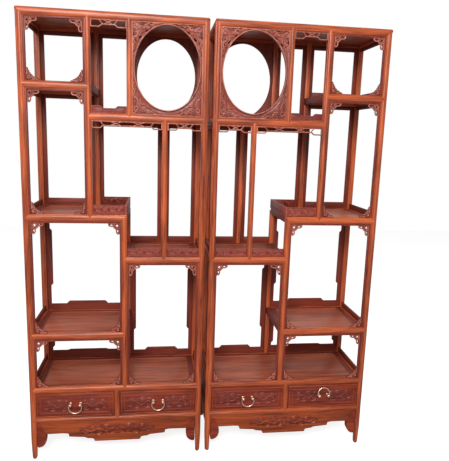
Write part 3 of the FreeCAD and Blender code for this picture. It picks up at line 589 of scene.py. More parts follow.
def metal(name, colour):
    """Cast brass, rubbed bright on most of its surface and a little dull in patches."""
    material, nodes, links, shader, place = new_material(name)
    texture = nodes.new("ShaderNodeTexNoise")
    texture.inputs["Scale"].default_value = 240.0
    texture.inputs["Detail"].default_value = 4.0
    links.new(place, texture.inputs["Vector"])
    dull = (colour[0] * 0.72, colour[1] * 0.62, colour[2] * 0.55)
    colour_between(nodes, links, shader, texture.outputs["Fac"], dull, colour, low=0.32, high=0.6)
    roughness_between(nodes, links, shader, texture.outputs["Fac"], dull=0.42, bright=0.26)
    shader.inputs["Metallic"].default_value = 1.0
    return material


WOODS = (
    ("upright", "rosewood_upright", "Z", "frame", {}),
    ("across", "rosewood_across", "X", "frame", {}),
    ("deep", "rosewood_deep", "Y", "frame", {}),
    ("panel", "rosewood_panel", "X", "panel", {"gloss": 0.44, "coat": 0.20, "streaks": 150.0, "figure": 0.8}),
    # The three recess woods take the darker recess colours: painted shade for the parts that lie back in the
    # openings.
    ("painted_shade", "rosewood_recess", "Z", "painted_shade", {"gloss": 0.50, "coat": 0.05}),
    ("level_painted_shade", "rosewood_level_recess", "X", "painted_shade", {"gloss": 0.50, "coat": 0.05}),
    ("deep_painted_shade", "rosewood_deep_recess", "Y", "painted_shade", {"gloss": 0.50, "coat": 0.05}),
    ("apron", "rosewood_apron", "X", "apron", {"coat": 0.12}),
    # The carved wood holds painted sheen in its pale greyish colour.
    ("carving", "rosewood_carved", "Z", "carving", {"gloss": 0.36, "coat": 0.35}),
    ("front", "rosewood_front", "X", "front", {"coat": 0.12}),
    ("relief", "rosewood_relief", "X", "relief", {"gloss": 0.48, "coat": 0.12}),
)


def finishes():
    """The materials of the pair by their short names, made once from the finish settings. Each wood has the
    axis of its grain and the setting that its colours come from."""
    finish = bpy.context.scene.bookcase_finish
    ready = bpy.data.materials.get
    made = {}
    for short, name, along, setting, looks in WOODS:
        light = tuple(getattr(finish, setting + "_light"))
        dark = tuple(getattr(finish, setting + "_dark"))
        made[short] = ready(name) or polished_wood(name, along, light, dark, **looks)
    light = tuple(finish.drawer_wood)
    dark = tuple(0.6 * value for value in light)
    plain = ready("drawer_wood")
    made["drawer"] = plain or polished_wood("drawer_wood", "Y", light, dark, gloss=0.6, coat=0.0)
    made["brass"] = ready("brass_metal") or metal("brass_metal", tuple(finish.brass))
    return made


# Pieces
# The small differences in depth between boards and lines that cross keep their faces from lying in one plane.

def corner_post(surfaces, at_inner, at_rear):
    """A corner post as rings of one section: a half-round on the outer side and on the show face, thinned
    evenly towards the floor on both sides of the foot, eased at the floor, and mitred to the top rails."""
    rise = size_of("bead_rise")
    flat = size_of("bead_flat")
    wide = OUTER_POST
    full = FRAME_DEPTH
    face = half_round(rise + flat, wide - flat, rise, 0.0)
    side = half_round(full - flat, rise + flat, rise, 0.0)[:, ::-1]
    near = np.array([[rise + 0.4, rise + 0.1]])
    far = np.array([[wide - 0.9, rise + 0.15], [wide, rise + 1.0], [wide, full - 1.2], [wide - 1.2, full],
                    [rise + 1.0, full], [rise + 0.15, full - 0.9]])
    section = np.concatenate([near, face, far, side])
    outer_taper, outer_height = 3.6, 90.0
    inner_taper, inner_height = 4.9, 190.0
    heights = np.array([0.0, 1.5, 5.0, 40.0, outer_height, 150.0, inner_height, POST_TOP])
    outer_in = np.interp(heights, [0.0, outer_height], [outer_taper, 0.0])
    inner_in = np.interp(heights, [0.0, inner_height], [inner_taper, 0.0])
    pinch = np.interp(heights, [0.0, 1.5, 5.0], [1.6, 0.5, 0.0])
    low = outer_in + pinch
    high = wide - inner_in - pinch
    rings = np.empty((len(heights), len(section), 3))
    rings[:, :, 0] = low[:, None] + section[None, :, 0] / wide * (high - low)[:, None]
    rings[:, :, 1] = low[:, None] + section[None, :, 1] / full * (full - low - inner_in - pinch)[:, None]
    rings[:, :, 2] = heights[:, None]
    mitre = TOP_HEIGHT * (1 - np.maximum(section[:, 0] / wide, section[:, 1] / full))
    mitre = np.minimum(mitre, TOP_HEIGHT - 8)
    rings[-1, :, 2] = POST_TOP + np.maximum(mitre, 0.2)
    if at_rear:
        rings[:, :, 1] = DEPTH - rings[:, :, 1]
    if at_inner:
        rings[:, :, 0] = WIDTH - rings[:, :, 0]
    surfaces.add(closed_rings(rings))


class BOOKCASE_OT_posts(bpy.types.Operator):
    """Carves the corner posts and the dividers between the compartments"""
    bl_idname = "bookcase.posts"
    bl_label = "Posts"

    def execute(self, context):
        for name, at_inner in (("outer", False), ("inner", True)):
            posts = Surfaces()
            for at_rear in (False, True):
                corner_post(posts, at_inner, at_rear)
            pair(name + "_corner_posts", posts, ["upright"], [name + "_posts"])
        dividers = (("upper", UPPER, STEP_LEVEL - RAIL / 2, POST_TOP + TOP_HEIGHT / 2),
                    ("gate", GATE, GATE_LEVEL - RAIL / 2, POST_TOP + TOP_HEIGHT / 2),
                    ("middle", MIDDLE, TALL_LEVEL - RAIL / 2, GATE_LEVEL - RAIL / 2),
                    ("lower", LOWER, CASE_LEVEL - RAIL / 2, STEP_LEVEL - RAIL))
        for name, box, low, high in dividers:
            left = box[0][0]
            width = box[1][0] - left
            section = show_bead(width)
            front_high = high
            if name == "lower":
                front_high = high + RAIL * section[:, 0] / width
                high = high + RAIL / 2
            posts = Surfaces()
            posts.add(bar(section, STANDING, left, 0.0, low, front_high))
            posts.add(bar(rear_bead(width), STANDING, left, DEPTH, low, high, True))
            pair(name + "_dividers", posts, ["upright"], [name + "_divider_posts"])
        return {"FINISHED"}


def front_and_rear_rails(surfaces, left, right, under, height, slope):
    """Front and rear rails of one shelf, run to the middle of the posts so that their beads meet the posts'
    beads in a point. A slope cuts their right-hand ends on a mitre instead."""
    for section, face, flip in ((show_bead(height), 0.0, False), (rear_bead(height), DEPTH, True)):
        stop = right - slope * (height - section[:, 0])
        surfaces.add(bar(section, LYING, under, face, left, stop, flip), "across")


def side_rail(surfaces, side, under, height):
    """A rail from front to rear. On an outer or inner side of the cabinet it has a bead and meets the corner
    posts in a point, and between two compartments, over the given width, it is a plain board."""
    if side in ("outer", "inner"):
        inner = side == "inner"
        place = WIDTH if inner else 0.0
        middle = FRAME_DEPTH / 2
        section = show_bead(height, OUTER_POST, 0.0)
        surfaces.add(bar(section, INWARD, under, place, middle, DEPTH - middle, inner), "deep")
    else:
        low, high = side
        # The board between compartments takes the darker recess finish: painted shade between the
        # compartments.
        surfaces.add(block((low, FRAME_DEPTH - 4, under + 0.2), (high, REAR_FACE + 4, under + height - 0.2)),
                     "deep_painted_shade")


def floating_panel(surfaces, left, right, level):
    """The floor of a shelf: a frame with wide side stiles, and a panel let in a little lower with a fine bead
    round it."""
    stile, front_lip, rear_lip = 26.0, 6.0, 20.0
    near, far = FRAME_DEPTH, REAR_FACE
    surfaces.add(block((left - 2, near - 2, level - 12), (right + 2, far + 2, level - 3.4), 1.0), "panel")
    first, last = left + stile, right - stile
    # The stiles and strips round the panel take the darker recess finishes: painted shade along the rails and
    # posts.
    for low, high, sunk, kind in (((left - 1, near - 1), (first, far + 1), 0.6, "deep_painted_shade"),
                                  ((last, near - 1), (right + 1, far + 1), 0.6, "deep_painted_shade"),
                                  ((first, near - 1), (last, near + front_lip), 0.8, "level_painted_shade"),
                                  ((first, far - rear_lip), (last, far + 1), 0.8, "level_painted_shade")):
        surfaces.add(block((*low, level - 6), (*high, level - sunk), 1.2), kind)
    first, last, near, far = first + 2, last - 2, near + front_lip + 2, far - rear_lip - 2
    points, faces = carved_line([(first, near), (last, near), (last, far), (first, far)], 4.0, level - 1.4,
                                level - 4.0, closed=True)
    surfaces.add((points[:, [0, 2, 1]], faces), "panel")


class BOOKCASE_OT_shelves(bpy.types.Operator):
    """Builds the shelves: moulded rails round a floating panel"""
    bl_idname = "bookcase.shelves"
    bl_label = "Shelves"

    def execute(self, context):
        upper = (UPPER[0][0], UPPER[1][0])
        lower = (LOWER[0][0], LOWER[1][0])
        rows = (("square_niche_shelf", NICHE_LEVEL - RAIL, NICHE_LEVEL, "outer", upper),
                ("moon_gate_shelf", GATE_LEVEL - RAIL, GATE_LEVEL, upper, "inner"),
                ("stepped_shelf", STEP_LEVEL - RAIL, STEP_LEVEL, "outer", lower),
                ("tall_niche_shelf", TALL_LEVEL - RAIL, TALL_LEVEL, lower, "inner"),
                ("open_bay_shelf", BAY_LEVEL - RAIL, BAY_LEVEL, "outer", lower),
                ("drawer_case_top", CASE_LEVEL - RAIL, CASE_LEVEL, "outer", "inner"),
                ("base_frame", BASE_UNDER, BASE_LEVEL, "outer", "inner"))
        for name, under, level, first, second in rows:
            height = level - under
            left, clear_left = OUTER_POST / 2, OUTER_POST
            right, clear_right = WIDTH - OUTER_POST / 2, INNER_EDGE
            slope = 0.0
            if first != "outer":
                left, clear_left = sum(first) / 2, first[1]
            if second != "inner":
                right, clear_right = sum(second) / 2, second[0]
            if name == "stepped_shelf":
                right = lower[1]
                slope = (lower[1] - lower[0]) / height
            shelf = Surfaces()
            front_and_rear_rails(shelf, left, right, under, height, slope)
            side_rail(shelf, first, under, height)
            side_rail(shelf, second, under, height)
            floating_panel(shelf, clear_left, clear_right, level)
            pair(name + "_joined", shelf, ["across", "deep", "panel", "level_painted_shade", "deep_painted_shade"], [name])
        return {"FINISHED"}


class BOOKCASE_OT_top(bpy.types.Operator):
    """Builds the top: four rounded rails mitred at the corners round a flat board"""
    bl_idname = "bookcase.top"
    bl_label = "Top"

    def execute(self, context):
        section = bead_section(TOP_HEIGHT, size_of("bead_rise"), size_of("bead_flat") * 0.6, OUTER_POST, 0.0)
        slant = (TOP_HEIGHT - section[:, 0]) / TOP_HEIGHT
        top = Surfaces()
        for way, kind, post, run, far in ((LYING, "across", OUTER_POST, WIDTH, DEPTH),
                                          (INWARD, "deep", FRAME_DEPTH, DEPTH, WIDTH)):
            start = np.maximum(post * slant, section[:, 1])
            for side, flip in ((0.0, False), (far, True)):
                top.add(bar(section, way, POST_TOP, side, start, run - start, flip), kind)
        rim = 20.0
        for under, over, radius, kind in ((8.0, 0.8, 1.5, "across"), (14.0, 7.0, 1.0, "panel")):
            low = (rim, rim, TOP_LEVEL - under)
            high = (WIDTH - rim, DEPTH - rim, TOP_LEVEL - over)
            top.add(block(low, high, radius), kind)
        pair("top_joined", top, ["across", "deep", "panel"], ["top_frame"])
        return {"FINISHED"}


class BOOKCASE_OT_linings(bpy.types.Operator):
    """Lines the open compartments with thin strips in painted shade that carry a fine bead with rounded
    corners
    """
    bl_idname = "bookcase.linings"
    bl_label = "Linings"

    def execute(self, context):
        front, back = depths("opening_linings")
        strip, inset, bend = 7.5, 7.6, 9.0
        turn = np.linspace(math.pi, math.pi / 2, 7)
        arc = np.stack([np.cos(turn), np.sin(turn)], -1) * bend
        lining = Surfaces()
        for left, right, low, high in OPENINGS.values():
            for start, stop in (((left - 1, front, low), (left + strip, back, high - 1)),
                                ((right - strip, front, low), (right + 1, back, high - 1)),
                                ((left, front + 0.3, high - strip), (right, back - 0.3, high + 1))):
                # The strips take the darker recess finish: painted shade inside the opening.
                lining.add(block(start, stop, 1.2), "painted_shade")
            first = arc + (left + inset + bend, high - inset - bend)
            second = arc[::-1] * (-1, 1) + (right - inset - bend, high - inset - bend)
            path = np.concatenate([[(left + inset, low)], first, second, [(right - inset, low)]])
            lining.add(carved_line(path, 3.6, front - 2.6, back - 1.0, tip=1.0), "relief")
        pair("beaded_linings", lining, ["relief", "painted_shade"], ["opening_linings"])
        return {"FINISHED"}


def scroll_bracket():
    """An upper corner bracket drawn from its corner: the lobed outline of its board, the openings cut in it,
    and its carved lines, each with its share of the width and whether it is a ring."""
    half = [(0.0, 49.0), (6.0, 50.5), (12.5, 47.5), (15.5, 41.0), (16.5, 35.0), (16.5, 30.0), (20.5, 27.0),
            (24.0, 24.0)]
    free = smooth_path(half + [(up, across) for across, up in half[-2::-1]], 3)
    outline = np.concatenate([[(0.0, 0.0)], free])
    openings = [oval(4.6, 4.6, 12) + (11.5, 11.5), oval(2.8, 5.6, 12) + (8.6, 35.5)]
    openings.append(openings[1][::-1, ::-1])
    rim = smooth_path([(0.0, 46.5), (6.0, 48.0), (11.0, 45.5), (13.3, 40.5), (14.3, 34.5), (14.2, 28.8),
                       (18.5, 25.0), (21.8, 21.8)], 3)
    rim = np.concatenate([rim, rim[-2::-1, ::-1]])
    leg = np.array([(1.8, 0.0), (1.8, 47.0)])
    curl = smooth_path([(3.0, 24.0), (8.0, 21.0), (11.0, 24.0), (9.0, 28.0)])
    return outline, openings, [(rim, 0.95, False), (leg, 0.65, False), (leg[:, ::-1], 0.65, False),
                               (oval(6.4, 6.4, 16) + (11.5, 11.5), 0.55, True), (curl, 0.6, False),
                               (curl[:, ::-1], 0.6, False)]


def leaf_spray():
    """A foot bracket drawn from its corner: the hollow outline of its board with small lobes, and the curls
    and leaves carved on it, each with its width."""
    half = [(0.0, 51.0), (5.0, 52.0), (8.0, 47.0), (7.5, 43.0), (11.5, 41.0), (12.5, 35.0), (16.5, 32.0),
            (17.0, 27.0), (21.5, 25.0), (22.5, 22.0)]
    outline = [(0.0, 0.0)] + [(up, across) for across, up in half] + half[::-1]
    curls = [(spiral((11.5, 11.5), 8.0, 1.8, 45, 400), 4.4),
             (spiral((7.0, 29.0), 6.0, 1.5, 60, 380, 12), 3.8),
             (smooth_path([(2.0, 20.0), (4.5, 36.0), (3.2, 44.0), (4.0, 50.0)]), 3.6),
             (smooth_path([(12.5, 20.0), (17.0, 22.0), (15.0, 28.0), (11.0, 36.0)]), 3.6)]
    curls += [(path[:, ::-1], width) for path, width in curls[1:]]
    return outline, curls


class BOOKCASE_OT_spandrels(bpy.types.Operator):
    """Carves the corner brackets: open scrolls above and leaves below"""
    bl_idname = "bookcase.spandrels"
    bl_label = "Corner brackets"

    def execute(self, context):
        width = size_of("vine_width")
        front, back = depths("corner_spandrels")
        outline, openings, lines = scroll_bracket()
        head_board = cut_board([outline] + openings, front + 2.5, back - 1.0, 0.6)
        outline, curls = leaf_spray()
        foot_board = cut_board([outline], front + 2, back, 0.8)
        inset, drop = 9.0, 8.0
        carving = Surfaces()
        for left, right, low, high in OPENINGS.values():
            for corner, sign in ((left + inset, 1.0), (right - inset, -1.0)):
                head = (corner, 0.0, high - drop)
                foot = (corner, 0.0, low)
                # The boards behind the carved lines take the darker recess finish: painted shade between the
                # lines.
                carving.add(placed(head_board, head, sign, -1.0), "painted_shade")
                for path, share, ring in lines:
                    line = carved_line(path, width * share, front - 1, front + 4, tip=0.8, closed=ring)
                    carving.add(placed(line, head, sign, -1.0), "carving")
                carving.add(placed(foot_board, foot, sign), "painted_shade")
                for path, broad in curls:
                    carving.add(placed(carved_line(path, broad, front - 2, front + 3), foot, sign), "carving")
        pair("carved_brackets", carving, ["carving", "painted_shade"], ["corner_spandrels"],
             sharp=60.0)
        return {"FINISHED"}


def fret_lines(run, repeats):
    """Lines of a frieze that hangs from its upper edge, drawn (across, down), each with its width: a border
    that steps up from a block at each end, a slanting bar at each step, and pairs of crossing bars between
    them, one pair for each repeat."""
    height = 32.0
    lines = []
    low = height - 2.5
    raised = height * 0.62
    ear = min(run * 0.24, 36.0)
    border = [(2.4, 0.0), (2.4, low), (ear, low), (ear + 4, low - 3), (ear + 9, raised + 2),
              (ear + 14, raised)]
    lines.append((both_ends(border, run), 5.6))
    lines.append((np.array([(0.0, 2.4), (run, 2.4)]), 4.8))
    flank = smooth_path([(ear + 1, 2.0), (ear + 6, 9.0), (ear + 16, raised)])
    for sign, start in ((1, 0.0), (-1, run)):
        lines.append((flank * (sign, 1) + (start, 0), 4.6))
    start = ear + 17
    pitch = (run - start * 2) / repeats
    reach_out = min(pitch * 0.42, 24.0)
    for number in range(repeats):
        middle = start + pitch * (number + 0.5)
        slant = smooth_path([(-reach_out, 3.0), (-reach_out * 0.35, 8.0), (reach_out * 0.35, raised - 6),
                             (reach_out, raised)])
        for sign in (1, -1):
            lines.append((slant * (sign, 1) + (middle, 0), 4.4))
    return lines


class BOOKCASE_OT_friezes(bpy.types.Operator):
    """Cuts the friezes of crossing bars at the head and foot of the narrow niche and under the gate shelf"""
    bl_idname = "bookcase.friezes"
    bl_label = "Friezes"

    def execute(self, context):
        front, back = depths("fret_friezes")
        fret = Surfaces()
        for left, right, top, sign, repeats in (
                (UPPER[1][0], GATE[0][0], POST_TOP, -1.0, 1), (UPPER[1][0], GATE[0][0], GATE_LEVEL, 1.0, 1),
                (UPPER[1][0], MIDDLE[0][0], GATE_UNDER, -1.0, 2),
                (MIDDLE[1][0], INNER_EDGE, GATE_UNDER, -1.0, 1)):
            for number, (path, width) in enumerate(fret_lines(right - left, repeats)):
                line = carved_line(path, width, front - 1, back - 1 - 0.12 * number, tip=1.0)
                fret.add(placed(line, (left, 0.0, top), 1.0, sign), "relief" if sign > 0 else "carving")
            if sign > 0:
                ground = [(left, top - 1), (right, top - 1), (right, top + 30), (right - 34, top + 30),
                          (right - 44, top + 18), (left + 44, top + 18), (left + 34, top + 30),
                          (left, top + 30)]
                # The ground takes the darker recess finish: painted shade behind the fret lines.
                fret.add(cut_board([ground], front + 3, back, 0.6), "level_painted_shade")
        pair("fretwork_friezes", fret, ["carving", "level_painted_shade", "relief"], ["fret_friezes"],
             sharp=60.0)
        return {"FINISHED"}


def vine_strip(surfaces, run, height, front, back, origin, facing="front", repeats=2, pierced=True,
               kind="relief"):
    """A fence: a board between two rails with a wave of curls and leaves carved along it. A pierced one has
    small openings beside each curl."""
    def put(surface):
        """Adds a part of the fence at the fence's own place."""
        surfaces.add(placed(surface, origin, facing=facing), kind)

    edge, wave_width, curl_width, leaf_width = 5.0, 3.6, 3.4, 7.0
    for level in (edge / 2, height - edge / 2):
        put(carved_line([(0.0, level), (run, level)], edge, front, back, tip=1.0))
    for start in (edge / 2, run - edge / 2):
        put(carved_line([(start, 0.2), (start, height - 0.2)], edge, front + 0.2, back - 0.3, tip=1.0))
    pitch = (run - edge * 2) / repeats
    middle = height / 2
    span = height / 2 - edge
    slit = np.array([(-2.6, -4.5), (2.6, -4.5), (2.6, 4.5), (-2.6, 4.5)])
    openings = []
    for number in range(repeats):
        start = edge + pitch * number
        wave = smooth_path([(start, middle - span * 0.6), (start + pitch * 0.25, middle + span * 0.7),
                            (start + pitch * 0.5, middle), (start + pitch * 0.75, middle - span * 0.7),
                            (start + pitch, middle + span * 0.6)])
        put(carved_line(wave, wave_width, front + 0.6, back - 2, tip=1.0))
        for share, sign in ((0.25, -1.0), (0.75, 1.0)):
            centre = (start + pitch * share, middle + span * 0.1 * sign)
            curl = spiral(centre, span * 0.85, span * 0.2, 90 * sign, (90 + 330) * sign)
            put(carved_line(curl, curl_width, front + 0.6, back - 2))
            for away in (-1, 1):
                openings.append(slit + (start + pitch * (share + 0.17 * away), middle))
        for share in (0.04, 0.5, 0.96):
            place = start + pitch * share
            spine = smooth_path([(place - 1.5, middle - span * 0.9), (place + 1.0, middle),
                                 (place - 1.5, middle + span * 0.9)], 5)
            put(leaf(spine, leaf_width, front + 0.4, back - 2))
    outline = [(0.4, 1), (run - 0.4, 1), (run - 0.4, height - 1), (0.4, height - 1)]
    put(cut_board([outline] + (openings if pierced else []), front + 3.5, back - 1.0, 0.6))


class BOOKCASE_OT_fences(bpy.types.Operator):
    """Carves the low fences on the stepped shelf and the tall niche's shelf"""
    bl_idname = "bookcase.fences"
    bl_label = "Fences"

    def execute(self, context):
        rear = depths("shelf_fences")[1]
        front, thick = 15.0, 10.0
        left, right = UPPER[1][0], LOWER[1][0]
        fence = Surfaces()
        vine_strip(fence, right - thick - left, NICHE_FENCE, front, front + thick, (left, 0.0, STEP_LEVEL))
        # The rear fence takes the darker recess finish: painted shade behind the front fence.
        vine_strip(fence, right - left - thick, NICHE_FENCE, rear - thick, rear, (left, 0.0, STEP_LEVEL),
                   pierced=False, kind="painted_shade")
        vine_strip(fence, rear - front, NICHE_FENCE, -thick, 0.0, (right, front, STEP_LEVEL), facing="side",
                   repeats=4, pierced=False)
        for start, stop in ((LOWER[1][0], MIDDLE[0][0]), (MIDDLE[1][0], INNER_EDGE)):
            vine_strip(fence, stop - start, TALL_FENCE, front, front + thick, (start, 0.0, TALL_LEVEL))
        pair("carved_fences", fence, ["relief", "painted_shade"], ["shelf_fences"], sharp=60.0)
        return {"FINISHED"}


def oval(half_width, half_height, count=96):
    """An upright oval: cosine times the half width, sine times the half height."""
    turn = np.linspace(0.0, 2 * math.pi, count, endpoint=False)
    return np.stack([np.cos(turn) * half_width, np.sin(turn) * half_height], -1)


# Lines of one corner of the moon gate
# They are counted in from the panel's side and in from its end: curls by their centre, first and last radius,
# first and last angle and width, then stems, then leaves with their widths, and last the openings that
# pierce the upper corners between the leaves.

GATE_CURLS = (
    ((17, 19), 13, 2.5, 200, 560, 4.6), ((14, 58), 9.5, 2, 90, 400, 4.2), ((52, 15), 9.5, 2, 0, -310, 4.2),
    ((11, 88), 6.5, 1.5, 90, 380, 3.6), ((80, 11), 6.5, 1.5, 0, -290, 3.6),
    ((8, 112), 4.5, 1.2, 90, 360, 3.0), ((104, 8), 4.5, 1.2, 0, -270, 3.0))
GATE_STEMS = (
    [(31, 31), (25, 45), (21, 56), (7, 68), (11, 84), (4, 98), (6, 124)],
    [(31, 31), (45, 25), (54, 26), (66, 8), (82, 12), (96, 5), (118, 5)],
    [(4, 4), (12, 8), (20, 12), (31, 31)])
GATE_LEAVES = (
    ([(29, 31), (35, 42), (33, 54), (24, 64)], 10.5),
    ([(29, 29), (41, 37), (53, 36), (62, 26)], 10.5),
    ([(27, 29), (34, 37), (40, 42), (44, 47)], 10.0),
    ([(24, 56), (25, 68), (21, 80), (15, 88)], 9.0),
    ([(54, 26), (66, 27), (77, 23), (84, 15)], 9.0),
    ([(14, 86), (14, 98), (11, 110), (6, 120)], 7.5),
    ([(82, 14), (94, 14), (104, 11), (114, 6)], 7.5),
    ([(5, 38), (10, 42), (13, 48), (9, 57)], 7.5),
    ([(36, 5), (41, 9), (47, 11), (56, 8)], 7.5),
    ([(4, 20), (6, 28), (9, 34), (16, 39)], 7.0),
    ([(20, 4), (28, 6), (34, 9), (39, 16)], 7.0),
    ([(3, 66), (5, 74), (5, 82), (4, 90)], 5.5),
    ([(64, 3), (72, 5), (80, 4), (88, 3)], 5.5))
GATE_OPENINGS = (
    [(36, 50), (41, 56), (37, 64), (30, 70), (29, 62), (32, 55)],
    [(50, 36), (58, 40), (66, 37), (72, 30), (64, 29), (55, 32)],
    [(4, 42), (8, 48), (7, 56), (3, 60)], [(42, 4), (48, 8), (56, 6), (60, 3)],
    [(19, 44), (22, 50), (19, 55), (15, 50)], [(44, 18), (50, 21), (46, 26), (41, 23)],
    [(17, 68), (18, 76), (15, 80), (13, 72)], [(68, 17), (76, 18), (80, 14), (72, 13)])


class BOOKCASE_OT_moon_gate(bpy.types.Operator):
    """Carves the moon gate: an oval opening with a raised ring and leaf scrolls in its corners"""
    bl_idname = "bookcase.moon_gate"
    bl_label = "Moon gate"

    def execute(self, context):
        low, high = reach("moon_gate_panel")
        bead_proud, bead_width, ring_width, stem_width, strip = 4.0, 4.8, 5, 4.4, 3.6
        face = low[1] + bead_proud
        back = high[1]
        side = (high[0] - low[0]) / 2
        wide = side - GATE_SIDE_MARGIN
        tall = (high[2] - low[2] - GATE_HEAD_MARGIN - GATE_FOOT_MARGIN) / 2
        head = tall + GATE_HEAD_MARGIN
        foot = tall + GATE_FOOT_MARGIN
        place = ((low[0] + high[0]) / 2, 0.0, low[2] + foot)
        rim = [(-side, -foot), (side, -foot), (side, head), (-side, head)]
        opening = oval(wide - ring_width, tall - ring_width)
        outlines = [rim, opening]
        gate = Surfaces()
        for across in (1, -1):
            for up, end, stretch in ((1, head, 1.0), (-1, foot, 1.16)):
                def spots(points):
                    """Points of the corner's drawing, counted from the gate's middle."""
                    return (side, end) - np.array(points, float) * (1.0, stretch)

                if up == 1:
                    outlines += [spots(points) * (across, up) for points in GATE_OPENINGS]
                lines = [carved_line(spiral(spots(centre), *shape), width, face - 1.5, face + 6)
                         for centre, *shape, width in GATE_CURLS]
                lines += [carved_line(smooth_path(spots(points)), stem_width, face - 1.0, face + 6)
                          for points in GATE_STEMS]
                lines += [leaf(smooth_path(spots(points), 5), width, face - 2.0, face + 6)
                          for points, width in GATE_LEAVES]
                for line in lines:
                    gate.add(placed(line, place, across, up), "carving")
        # The ground behind the leaves takes the darker relief finish: painted shade between the carved
        # leaves.
        gate.add(placed(cut_board(outlines, face + 4.5, back, 0.8), place), "relief")
        ring = cut_board([oval(wide - 0.5, tall - 0.5), opening], face, back - 0.4, 0.8)
        gate.add(placed(ring, place), "upright")
        bead = carved_line(oval(wide - 2.6, tall - 2.6), bead_width, low[1] - 1, face + 1, closed=True)
        gate.add(placed(bead, place), "carving")
        near, far = face - 0.5, back - 0.4
        for start, stop in (((low[0], near, low[2]), (low[0] + strip, far, high[2])),
                            ((high[0] - strip, near, low[2]), (high[0], far, high[2])),
                            ((low[0], near + 0.2, high[2] - strip), (high[0], far - 0.2, high[2])),
                            ((low[0], near + 0.2, low[2]), (high[0], far - 0.2, low[2] + strip))):
            gate.add(block(start, stop, 1.2), "carving")
        pair("carved_moon_gate", gate, ["upright", "carving", "relief"], ["moon_gate_panel"],
             sharp=60.0)
        # The rear gate panel takes the darker recess finish: painted shade behind the gate.
        near, far = depths("rear_gate_panel")
        rear = Surfaces()
        rear.add(placed(cut_board([rim, oval(wide - 2, tall - 2)], near, far, 1.2), place))
        bead = carved_line(oval(wide - 1, tall - 1), 5.0, near - 1.5, far - 1.0, closed=True)
        rear.add(placed(bead, place))
        pair("rear_moon_gate", rear, ["painted_shade"], ["rear_gate_panel"])
        return {"FINISHED"}


def soft_corners(points, radius=3.0):
    """An outline with each corner cut back by the radius, at most 0.45 of a side, and rounded by a curve of
    the second degree that is drawn towards the corner."""
    points = np.array(points, float)
    before = np.roll(points, 1, 0) - points
    after = np.roll(points, -1, 0) - points
    near = np.linalg.norm(before, axis=1)[:, None]
    far = np.linalg.norm(after, axis=1)[:, None]
    start = points + before / near * np.minimum(radius, near * 0.45)
    stop = points + after / far * np.minimum(radius, far * 0.45)
    share = np.array([0.0, 0.5, 1.0])[None, :, None]
    line = (start[:, None] * (1 - share) ** 2 + points[:, None] * 2 * share * (1 - share)
            + stop[:, None] * share ** 2)
    return line.reshape(-1, 2)


def stepped_frame(frames, name, base, crest, front, back):
    """The frame behind a lower bay: a strip at each side that widens in its middle, a foot board that steps
    up to a crest, and a head board that steps up over its middle."""
    left, right, low, high = OPENINGS[name]
    run = right - left
    rise = high - low
    narrow, wide, depth = 18.0, 28.0, 32.0
    first, last = rise * 0.25, rise * 0.82
    strip = soft_corners([(0, 0), (narrow, 0), (narrow, first), (wide, first + 8), (wide, last - 8),
                          (narrow, last), (narrow, rise), (0, rise)], 4.0)
    # The stepped frames take the darker recess finishes: painted shade at the back of the bay.
    for corner, sign in ((left, 1.0), (right, -1.0)):
        frames.add(placed(cut_board([strip], front, back, 1.2), (corner, 0.0, low), sign), "painted_shade")
    start, stop = run * 0.26, run * 0.74
    ledge, top = base + crest * 0.5, base + crest
    foot = soft_corners([(0, 0), (run, 0), (run, base), (stop + 7, base), (stop + 5, ledge), (stop, ledge),
                         (stop - 2, top), (start + 2, top), (start, ledge), (start - 5, ledge),
                         (start - 7, base), (0, base)])
    head = soft_corners([(0, 0), (run, 0), (run, -depth), (stop, -depth), (stop - 9, -20), (start + 9, -20),
                         (start, -depth), (0, -depth)], 4.0)
    for outline, level in ((foot, low), (head, high)):
        board = cut_board([outline], front - 0.4, back - 0.4, 1.2)
        frames.add(placed(board, (left, 0.0, level)), "level_painted_shade")


